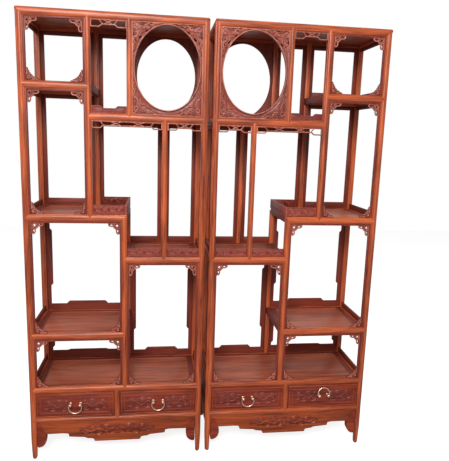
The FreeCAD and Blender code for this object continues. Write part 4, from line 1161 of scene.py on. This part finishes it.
class BOOKCASE_OT_rear_frames(bpy.types.Operator):
    """Cuts the frames behind the compartments and the strips low and high in the side openings"""
    bl_idname = "bookcase.rear_frames"
    bl_label = "Rear frames"

    def execute(self, context):
        back = depths("gallery_frames")[1]
        front = back - 10.0
        frames = Surfaces()
        for name, base, crest in (("open_bay", 32.0, 14.0), ("tall_bay", 32.0, 14.0), ("low_bay", 40.0, 5.0)):
            stepped_frame(frames, name, base, crest, front, back)
        strip, board = 18.0, 32.0
        left, right = UPPER[1][0], MIDDLE[0][0]
        uprights = [(left, left + strip, STEP_LEVEL + NICHE_FENCE, GATE_UNDER),
                    (right - strip, right, TALL_LEVEL, GATE_UNDER)]
        levels = [(LOWER[1][0], right - strip, TALL_LEVEL, TALL_LEVEL + board),
                  (left + strip, right - strip, GATE_UNDER - strip, GATE_UNDER)]
        for left, right, low, high in (OPENINGS["square_niche"], OPENINGS["high_niche"],
                                       (UPPER[1][0], GATE[0][0], GATE_LEVEL, POST_TOP),
                                       (MIDDLE[1][0], INNER_EDGE, TALL_LEVEL, GATE_UNDER)):
            uprights += [(left, left + strip, low, high), (right - strip, right, low, high)]
            levels += [(left + strip, right - strip, low, low + board),
                       (left + strip, right - strip, high - strip, high)]
        # These strips take the darker recess finishes: painted shade at the back of the compartments.
        for kind, strips in (("painted_shade", uprights), ("level_painted_shade", levels)):
            for left, right, low, high in strips:
                frames.add(block((left - 0.5, front, low - 0.5), (right + 0.5, back, high + 0.5), 1.4), kind)
        near, far, thick = FRAME_DEPTH - 1, REAR_FACE + 1, 10.0
        outer, inner = thick, WIDTH - thick * 2
        foot_rise, head_drop = 26, 17
        for side, level, head in ((outer, NICHE_LEVEL, POST_TOP),
                                  (outer, STEP_LEVEL, NICHE_LEVEL - RAIL),
                                  (outer, BAY_LEVEL, STEP_LEVEL - RAIL),
                                  (outer, CASE_LEVEL, BAY_LEVEL - RAIL),
                                  (inner, TALL_LEVEL, GATE_UNDER),
                                  (inner, CASE_LEVEL, TALL_LEVEL - RAIL)):
            # The side strips take the darker recess finish: painted shade in the side openings.
            for low, high in ((level - 1, level + foot_rise), (head - head_drop, head + 1)):
                frames.add(block((side, near, low), (side + thick, far, high), 2.5), "deep_painted_shade")
        pair("rear_and_side_frames", frames, ["painted_shade", "level_painted_shade", "deep_painted_shade"], ["gallery_frames"])
        return {"FINISHED"}


def apron_outline(run, drop):
    """The apron drawn from its upper left corner: level ends, a rounded step, a slope to a cusp and a long
    middle stretch, which hangs lower than the ends by the drop."""
    ends = 63.0
    half = [(0, 0), (0, -ends), (run * 0.165, -ends + 1), (run * 0.195, -ends - 2), (run * 0.195, -ends - 17),
            (run * 0.225, -ends - 19), (run * 0.295, -ends - drop * 0.50), (run * 0.305, -ends - drop * 0.62),
            (run * 0.35, -ends - drop * 0.70), (run * 0.355, -ends - drop)]
    return soft_corners(both_ends(half, run), 5.0)


def apron_relief():
    """Scrolls and leaves along the middle of the front apron, drawn about its middle, each with its width."""
    stem = smooth_path([(0, 2), (16, 12), (32, 4), (48, -8), (66, -2), (84, 8), (102, 2), (120, -6), (138, 0),
                        (158, 5)])
    lines = [(stem, 4.6)]
    for centre, radius, turn in (((24, -6), 12, 60), ((54, 10), 13, -80), ((88, -7), 12, 70),
                                 ((116, 8), 10, -80), ((140, -5), 7, 60)):
        lines.append((spiral(centre, radius, 2.2, turn, turn + (330 if turn > 0 else -330)), 4.2))
    leaves = [(smooth_path(points, 5), width) for points, width in (
        ([(8, -4), (14, -14), (26, -20), (36, -18)], 10.0), ([(34, 12), (42, 22), (56, 26), (68, 22)], 10.0),
        ([(70, -8), (78, -20), (92, -22), (102, -16)], 10.0),
        ([(100, 12), (110, 21), (122, 21), (130, 14)], 9.0),
        ([(132, -10), (146, -12), (158, -6), (170, 0)], 8.0))]
    lines += [(path * (-1, 1), width) for path, width in lines]
    leaves += [(path * (-1, 1), width) for path, width in leaves]
    return lines, leaves + [(smooth_path([(0, -20), (0, -6), (0, 22)]), 14.0)]


class BOOKCASE_OT_aprons(bpy.types.Operator):
    """Cuts and carves the aprons and the brackets beside the feet"""
    bl_idname = "bookcase.aprons"
    bl_label = "Aprons"

    def execute(self, context):
        raised = size_of("relief_rise")
        run = INNER_EDGE - OUTER_POST
        deep_run = REAR_FACE - FRAME_DEPTH
        level = BASE_UNDER
        front, thick = 8.0, 16.0
        low_drop, high_drop = 46.0, 24.0
        aprons = Surfaces()
        for near, drop in ((front, low_drop), (DEPTH - front - thick, high_drop)):
            board = cut_board([apron_outline(run, drop)], near, near + thick, 1.5)
            # The apron takes the darker apron finish, partly painted shade of the light falling off towards
            # the floor.
            aprons.add(placed(board, (OUTER_POST, 0.0, level)), "apron")
        board = cut_board([apron_outline(deep_run, high_drop)], 0.0, thick, 1.5)
        for side in (front, WIDTH - front - thick):
            aprons.add(placed(board, (side, FRAME_DEPTH, level), facing="side"), "deep")
        middle = (OUTER_POST + run / 2, level - 50.0)
        half = [(0, -25), (14, -21), (30, -25), (44, -16), (58, -19), (76, -24), (94, -27), (110, -17),
                (128, -17), (146, -17), (164, -10), (176, 2), (166, 12), (150, 12), (136, 22), (118, 27),
                (102, 20), (88, 14), (74, 26), (56, 30), (38, 24), (24, 18), (10, 26), (0, 28)]
        ground = half + [(-across, up) for across, up in half[-2:0:-1]]
        ground = smooth_path(ground, 3, closed=True) + middle
        # The ground takes the darker recess finish: painted shade between the carved lines.
        aprons.add(cut_board([ground], front - 0.5, front + 1.5, 0.3), "level_painted_shade")
        lines, leaves = apron_relief()
        for path, width in lines:
            aprons.add(carved_line(path + middle, width * 1.3, front - raised, front + 1.5), "apron")
        for path, width in leaves:
            aprons.add(leaf(path + middle, width * 1.2, front - raised * 1.1, front + 1.0), "apron")
        pair("carved_aprons", aprons, ["apron", "deep", "level_painted_shade"], ["aprons"],
             sharp=50.0)
        outline = soft_corners([(0, 0), (0, -117), (4, -126), (14, -126), (25, -121), (34, -111), (40, -100),
                                (42, -84), (40, -66), (36, 0)], 5.0)
        face = soft_corners([(0, -10), (12, -12), (20, -22), (25, -38), (33, -52), (41, -66), (43, -84),
                             (41, -100), (35, -112), (26, -122), (14, -127), (3, -128), (0, -118)], 5.0)
        brackets = Surfaces()
        for corner, sign in ((OUTER_POST, 1.0), (INNER_EDGE, -1.0)):
            for near in (24.0, DEPTH - 36.0):
                brackets.add(placed(cut_board([outline], near, near + 12.0, 2.0), (corner, 0.0, level), sign))
            brackets.add(placed(cut_board([face], 4.6, 25.0, 1.8), (corner, 0.0, level), sign))
        # The brackets take the darker drawer front finish, partly painted shade of the light falling off
        # towards the floor.
        pair("lobed_brackets", brackets, ["front"], ["apron_brackets"])
        return {"FINISHED"}


class BOOKCASE_OT_drawer_case(bpy.types.Operator):
    """Closes the drawer case: side and back panels, the divider between the drawers, and the guides"""
    bl_idname = "bookcase.drawer_case"
    bl_label = "Drawer case"

    def execute(self, context):
        under, over = BASE_LEVEL, CASE_LEVEL - RAIL
        middle, half = WIDTH / 2, 12.5
        outside, inside = 8, 18
        side_near, side_far = 28, 322
        back_near, back_far = 328, 338
        guide_near, guide_far, guide_rise = 30, 320, 24
        case = Surfaces()
        case.add(bar(show_bead(half * 2), STANDING, middle - half, 0.0, under - 11, over + 15), "upright")
        for left, right in ((outside, inside), (WIDTH - inside, WIDTH - outside)):
            case.add(block((left, side_near, under - 1), (right, side_far, over + 1), 1.0), "deep")
        case.add(block((OUTER_POST - 1, back_near, under - 1), (INNER_EDGE + 1, back_far, over + 1), 1.0),
                 "across")
        for left, right in ((middle - half, middle + half), (inside, OUTER_POST),
                            (INNER_EDGE, WIDTH - inside)):
            case.add(block((left, guide_near, under - 0.5), (right, guide_far, under + guide_rise), 1.0),
                     "deep")
        pair("closed_drawer_case", case, ["upright", "deep", "across"], ["drawer_case"])
        return {"FINISHED"}


def front_relief():
    """Leaf scrolls on the right half of a drawer front, drawn from the middle of the front."""
    lines = [
        (smooth_path([(30, -4), (42, 8), (56, 6), (68, -6), (84, -8), (98, 4), (112, 10), (124, 2),
                      (132, -8)]), 4.2),
        (spiral((48, -9), 9, 2, 120, 430), 3.8), (spiral((74, 9), 9, 2, -110, -420), 3.8),
        (spiral((100, -9), 9, 2, 110, 420), 3.8), (spiral((122, 10), 6, 1.6, -120, -400), 3.2)]
    leaves = [
        (smooth_path([(34, -12), (40, -22), (54, -25), (66, -19)], 5), 9.0),
        (smooth_path([(58, 14), (68, 24), (82, 24), (92, 15)], 5), 9.0),
        (smooth_path([(84, -16), (94, -25), (108, -24), (116, -14)], 5), 9.0),
        (smooth_path([(30, 10), (36, 20), (46, 22), (54, 16)], 5), 8.0),
        (smooth_path([(110, 18), (122, 22), (132, 14), (138, 4)], 5), 7.5),
        (smooth_path([(118, -10), (128, -16), (136, -12), (140, -2)], 5), 7.0)]
    return lines, leaves


def drawer_board(low, high):
    """A drawer front: a board with a beaded edge, a sunk field and a fine line round it, leaf scrolls on dark
    grounds on both sides of its middle, and the two pull posts."""
    raised = size_of("relief_rise")
    face, thick, post_away = 5.0, 18.0, 22.5
    middle = (low + high)[[0, 2]] / 2
    half = (high - low)[[0, 2]] / 2
    board = Surfaces()
    # The board takes the darker drawer front finish, partly painted shade of the light falling off towards
    # the floor.
    board.add(block((low[0], face, low[2]), (high[0], face + thick, high[2]), 1.6), "front")
    corners = np.array([(-1, -1), (1, -1), (1, 1), (-1, 1)])
    for inset, broad, proud, kind in ((5.0, 5.6, 3.4, "apron"), (20.5, 4.6, 3.0, "relief"),
                                      (27.5, 2.0, 1.2, "front")):
        path = corners * (half - inset) + middle
        board.add(carved_line(path, broad, face - proud, face + 1, closed=True), kind)
    lines, leaves = front_relief()
    ground = smooth_path([(27, -10), (33, -22), (48, -28), (64, -23), (76, -16), (88, -25), (104, -28),
                          (120, -20), (134, -17), (144, -4), (141, 10), (128, 23), (112, 21), (98, 16),
                          (84, 27), (68, 26), (56, 17), (44, 24), (32, 15)], 3, closed=True)
    for sign in (1, -1):
        # The ground takes the darker recess finish: painted shade between the carved lines.
        board.add(cut_board([ground * (sign, 1) + middle], face - 0.5, face + 1, 0.3), "level_painted_shade")
        for path, width in lines:
            line = carved_line(path * (sign, 1) + middle, width * 1.25, face - raised, face + 1)
            board.add(line, "relief")
        for path, width in leaves:
            board.add(leaf(path * (sign, 1) + middle, width * 1.2, face - raised * 0.8, face + 1), "relief")
    for away in (post_away, -post_away):
        board.add(pull_post((middle[0] + away, PULL_LEVEL), face, size_of("pull_ball")), "brass")
    return board


class BOOKCASE_OT_drawers(bpy.types.Operator):
    """Builds the drawers: boxes, beaded fronts with leaf scrolls, and the turned pull posts"""
    bl_idname = "bookcase.drawers"
    bl_label = "Drawers"

    def execute(self, context):
        for name in ("outer", "inner"):
            low, high = reach(name + "_drawer_box")
            wall, rebate, bottom_under, bottom_over = 12, 11, 6, 13
            box = Surfaces()
            for start, stop in ((low, (low[0] + wall, high[1], high[2])),
                                ((high[0] - wall, low[1], low[2]), high),
                                ((low[0] + wall, high[1] - wall, low[2]), (high[0] - wall, high[1], high[2])),
                                ((low[0] + rebate, low[1], low[2] + bottom_under),
                                 (high[0] - rebate, high[1] - rebate, low[2] + bottom_over))):
                box.add(block(start, stop, 1.0))
            pair(name + "_drawer_boards", box, ["drawer"], [name + "_drawer_box"],
                 body=name + "_drawer")
            board = drawer_board(*reach(name + "_drawer_front"))
            pair(name + "_drawer_face", board, ["front", "relief", "brass", "level_painted_shade", "apron"],
                 [name + "_drawer_front"], body=name + "_drawer", sharp=50.0)
        return {"FINISHED"}


def pull_post(centre, face, ball):
    """A turned post that stands out of a drawer front: a collar, a neck and a ball, as rings of a circle
    whose radius follows the profile. The ball's rings follow the sine and cosine of a rising angle."""
    head = face - 16.5
    turn = np.linspace(-0.97 * math.pi / 2, 0.72 * math.pi / 2, 12)
    deep = np.concatenate([face + np.array([1.0, -0.6, -1.6, -2.0, -6.0, -8.5]), head - ball * np.sin(turn)])
    radius = np.concatenate([[7.0, 7.0, 6.2, 4.0, 3.6, 4.2], ball * np.cos(turn)])
    around = np.linspace(0.0, 2 * math.pi, 24, endpoint=False)
    rings = np.empty((len(deep), len(around), 3))
    rings[:, :, 0] = centre[0] + np.cos(around)[None] * radius[:, None]
    rings[:, :, 1] = deep[:, None]
    rings[:, :, 2] = centre[1] + np.sin(around)[None] * radius[:, None]
    return closed_rings(rings)


def bail_surface(middle, pivot, level, lift, wire, belly):
    """A bail as a round section carried down one arm, round the loop and up the other. The radius grows from
    the wire to the belly at the lowest point, and the whole is turned by the lift about its pivots."""
    arm, drop, pin, pin_radius = 29.3, 40.0, 6.0, 1.4
    turn = np.linspace(math.pi, 2 * math.pi, 25)
    loop = np.stack([np.cos(turn) * arm, np.sin(turn) * arm - (drop - arm)], -1)
    start = np.array([(-arm + pin + 2, 0.0), (-arm + 3.0, 0.0), (-arm + 0.9, -0.9), (-arm, -3.0)])
    path = np.concatenate([start, loop, start[::-1] * (-1, 1)])
    step = np.gradient(path, axis=0)
    step = step / np.linalg.norm(step, axis=1)[:, None]
    normal = np.stack([-step[:, 1], step[:, 0]], -1)
    depth = np.clip(-path[:, 1] / drop, 0.0, 1.0)
    radius = wire + (belly - wire) * depth ** 1.5
    radius[[0, 1, -2, -1]] = pin_radius
    around = np.linspace(0.0, 2 * math.pi, 14, endpoint=False)
    plane = path[:, None] + normal[:, None] * (np.cos(around)[None] * radius[:, None])[:, :, None]
    out = np.sin(around)[None] * radius[:, None]
    angle = math.radians(lift)
    rings = np.empty((len(path), len(around), 3))
    rings[:, :, 0] = middle + plane[:, :, 0]
    rings[:, :, 1] = pivot + out * math.cos(angle) + plane[:, :, 1] * math.sin(angle)
    rings[:, :, 2] = level + plane[:, :, 1] * math.cos(angle) - out * math.sin(angle)
    return closed_rings(rings)


class BOOKCASE_OT_bails(bpy.types.Operator):
    """Bends the four bails. The one on the right cabinet's outer drawer is turned up"""
    bl_idname = "bookcase.bails"
    bl_label = "Bails"

    def execute(self, context):
        wire, belly = size_of("bail_wire"), size_of("bail_belly")
        pivot = -11.5
        for name in ("outer", "inner"):
            low, high = reach(name + "_drawer_front")
            for side in ("left", "right"):
                lift = 194.0 if (name, side) == ("outer", "right") else 0.0
                bail = Surfaces()
                bail.add(bail_surface((low[0] + high[0]) / 2, pivot, PULL_LEVEL, lift, wire, belly))
                pair(name + "_bail", bail, ["brass"], [name + "_drawer_bail"],
                     body=name + "_drawer_bail", sides=(side,))
        return {"FINISHED"}


def pale_floor(colour):
    """The floor: a plain square whose own glow, seen by the camera alone, makes it nearly white."""
    mesh = bpy.data.meshes.new("floor")
    mesh.from_pydata([(-6.0, -4.0, 0.0), (6.0, -4.0, 0.0), (6.0, 6.0, 0.0), (-6.0, 6.0, 0.0)], [],
                     [(0, 1, 2, 3)])
    floor = linked("floor", mesh)
    material = bpy.data.materials.new("pale_floor")
    material.use_nodes = True
    nodes = material.node_tree.nodes
    links = material.node_tree.links
    shader = nodes["Principled BSDF"]
    shader.inputs["Base Color"].default_value = (*colour, 1.0)
    shader.inputs["Roughness"].default_value = 0.9
    shader.inputs["Specular IOR Level"].default_value = 0.0
    path = nodes.new("ShaderNodeLightPath")
    glow = nodes.new("ShaderNodeEmission")
    glow.inputs["Color"].default_value = (1.0, 1.0, 1.0, 1.0)
    glow.inputs["Strength"].default_value = 0.82
    both = nodes.new("ShaderNodeAddShader")
    mix = nodes.new("ShaderNodeMixShader")
    links.new(path.outputs["Is Camera Ray"], mix.inputs["Fac"])
    links.new(shader.outputs["BSDF"], both.inputs[0])
    links.new(glow.outputs["Emission"], both.inputs[1])
    links.new(shader.outputs["BSDF"], mix.inputs[1])
    links.new(both.outputs["Shader"], mix.inputs[2])
    links.new(mix.outputs["Shader"], nodes["Material Output"].inputs["Surface"])
    mesh.materials.append(material)


def studio_world():
    """The world: soft light, brighter by its share for gloss, and plain white to the camera and to rays that
    pass through something clear."""
    soft_light, gloss_light = 0.27, 0.25
    world = bpy.data.worlds.new("studio")
    bpy.context.scene.world = world
    world.use_nodes = True
    nodes = world.node_tree.nodes
    links = world.node_tree.links
    soft = nodes["Background"]
    soft.inputs["Color"].default_value = (1.0, 0.97, 0.95, 1.0)
    white = nodes.new("ShaderNodeBackground")
    white.inputs["Color"].default_value = (1.0, 1.0, 1.0, 1.0)
    white.inputs["Strength"].default_value = 1.0
    path = nodes.new("ShaderNodeLightPath")
    level = nodes.new("ShaderNodeMath")
    level.operation = "MULTIPLY_ADD"
    links.new(path.outputs["Is Glossy Ray"], level.inputs[0])
    level.inputs[1].default_value = gloss_light
    level.inputs[2].default_value = soft_light
    links.new(level.outputs["Value"], soft.inputs["Strength"])
    seen = nodes.new("ShaderNodeMath")
    seen.operation = "MAXIMUM"
    links.new(path.outputs["Is Camera Ray"], seen.inputs[0])
    links.new(path.outputs["Is Transmission Ray"], seen.inputs[1])
    mix = nodes.new("ShaderNodeMixShader")
    links.new(seen.outputs["Value"], mix.inputs["Fac"])
    links.new(soft.outputs["Background"], mix.inputs[1])
    links.new(white.outputs["Background"], mix.inputs[2])
    links.new(mix.outputs["Shader"], nodes["World Output"].inputs["Surface"])


def lamp(name, place, aim, power, size):
    """A square lamp that shines from its place at its aim: places and size in metres, power in watts."""
    light = bpy.data.lights.new(name, "AREA")
    light.energy = power
    light.size = size
    thing = linked(name, light)
    thing.rotation_euler = (Vector(aim) - Vector(place)).to_track_quat("-Z", "Y").to_euler()
    thing.location = place


def camera(stage):
    """The camera: its yaw turns it to the right, its pitch tilts it and its roll turns the picture."""
    yaw, pitch, roll = stage.camera_yaw, stage.camera_pitch, stage.camera_roll
    ahead = Vector((math.sin(yaw) * math.cos(pitch), math.cos(yaw) * math.cos(pitch), math.sin(pitch)))
    level = Vector((math.cos(yaw), -math.sin(yaw), 0.0))
    upward = level.cross(ahead)
    right = level * math.cos(roll) + upward * math.sin(roll)
    above = upward * math.cos(roll) - level * math.sin(roll)
    eye = bpy.data.cameras.new("camera")
    eye.sensor_fit = "HORIZONTAL"
    eye.sensor_width = 36.0
    eye.lens = stage.lens
    thing = linked("camera", eye)
    turn = Matrix((right, above, -ahead)).transposed()
    thing.matrix_world = Matrix.Translation(Vector(stage.camera_place)) @ turn.to_4x4()
    bpy.context.scene.camera = thing


class BOOKCASE_OT_stage(bpy.types.Operator):
    """Lays the floor and sets the lamps, the world and the camera"""
    bl_idname = "bookcase.stage"
    bl_label = "Stage"

    def execute(self, context):
        stage = context.scene.bookcase_stage
        context.scene.view_settings.view_transform = "Standard"
        pale_floor(stage.floor)
        studio_world()
        lamp("key_lamp", place=(-0.9, -3.5, 3.2), aim=(0.0, 0.0, 1.1), power=112.0, size=1.3)
        lamp("front_lamp", place=(-0.4, -3.4, 2.7), aim=(0.0, 0.0, 1.6), power=52.0, size=1.8)
        lamp("rear_lamp", place=(1.3, 2.3, 4.4), aim=(0.0, 0.0, 1.0), power=55.0, size=2.0)
        camera(stage)
        return {"FINISHED"}


PIECES = (BOOKCASE_OT_posts, BOOKCASE_OT_shelves, BOOKCASE_OT_top, BOOKCASE_OT_linings,
          BOOKCASE_OT_spandrels, BOOKCASE_OT_friezes, BOOKCASE_OT_fences, BOOKCASE_OT_moon_gate,
          BOOKCASE_OT_rear_frames, BOOKCASE_OT_aprons, BOOKCASE_OT_drawer_case, BOOKCASE_OT_drawers,
          BOOKCASE_OT_bails, BOOKCASE_OT_stage)


class BOOKCASE_PT_pieces(bpy.types.Panel):
    """Lists the pieces and the settings"""
    bl_idname = "BOOKCASE_PT_pieces"
    bl_label = "Bookcases"
    bl_space_type = "VIEW_3D"
    bl_region_type = "UI"
    bl_category = "Bookcases"

    def draw(self, context):
        layout = self.layout
        for piece in PIECES:
            layout.operator(piece.bl_idname)
        for group in (context.scene.bookcase_sizes, context.scene.bookcase_finish,
                      context.scene.bookcase_stage):
            box = layout.box()
            for name in group.__annotations__:
                box.prop(group, name)


CLASSES = (BookcaseSizes, BookcaseFinish, BookcaseStage) + PIECES + (BOOKCASE_PT_pieces,)


def register():
    for item in CLASSES:
        bpy.utils.register_class(item)
    bpy.types.Scene.bookcase_sizes = bpy.props.PointerProperty(type=BookcaseSizes)
    bpy.types.Scene.bookcase_finish = bpy.props.PointerProperty(type=BookcaseFinish)
    bpy.types.Scene.bookcase_stage = bpy.props.PointerProperty(type=BookcaseStage)


def unregister():
    del bpy.types.Scene.bookcase_stage
    del bpy.types.Scene.bookcase_finish
    del bpy.types.Scene.bookcase_sizes
    for item in reversed(CLASSES):
        bpy.utils.unregister_class(item)


def main():
    """Makes the pieces in order."""
    register()
    bpy.ops.bookcase.posts()
    bpy.ops.bookcase.shelves()
    bpy.ops.bookcase.top()
    bpy.ops.bookcase.linings()
    bpy.ops.bookcase.spandrels()
    bpy.ops.bookcase.friezes()
    bpy.ops.bookcase.fences()
    bpy.ops.bookcase.moon_gate()
    bpy.ops.bookcase.rear_frames()
    bpy.ops.bookcase.aprons()
    bpy.ops.bookcase.drawer_case()
    bpy.ops.bookcase.drawers()
    bpy.ops.bookcase.bails()
    bpy.ops.bookcase.stage()


if __name__ == "__main__":
    main()
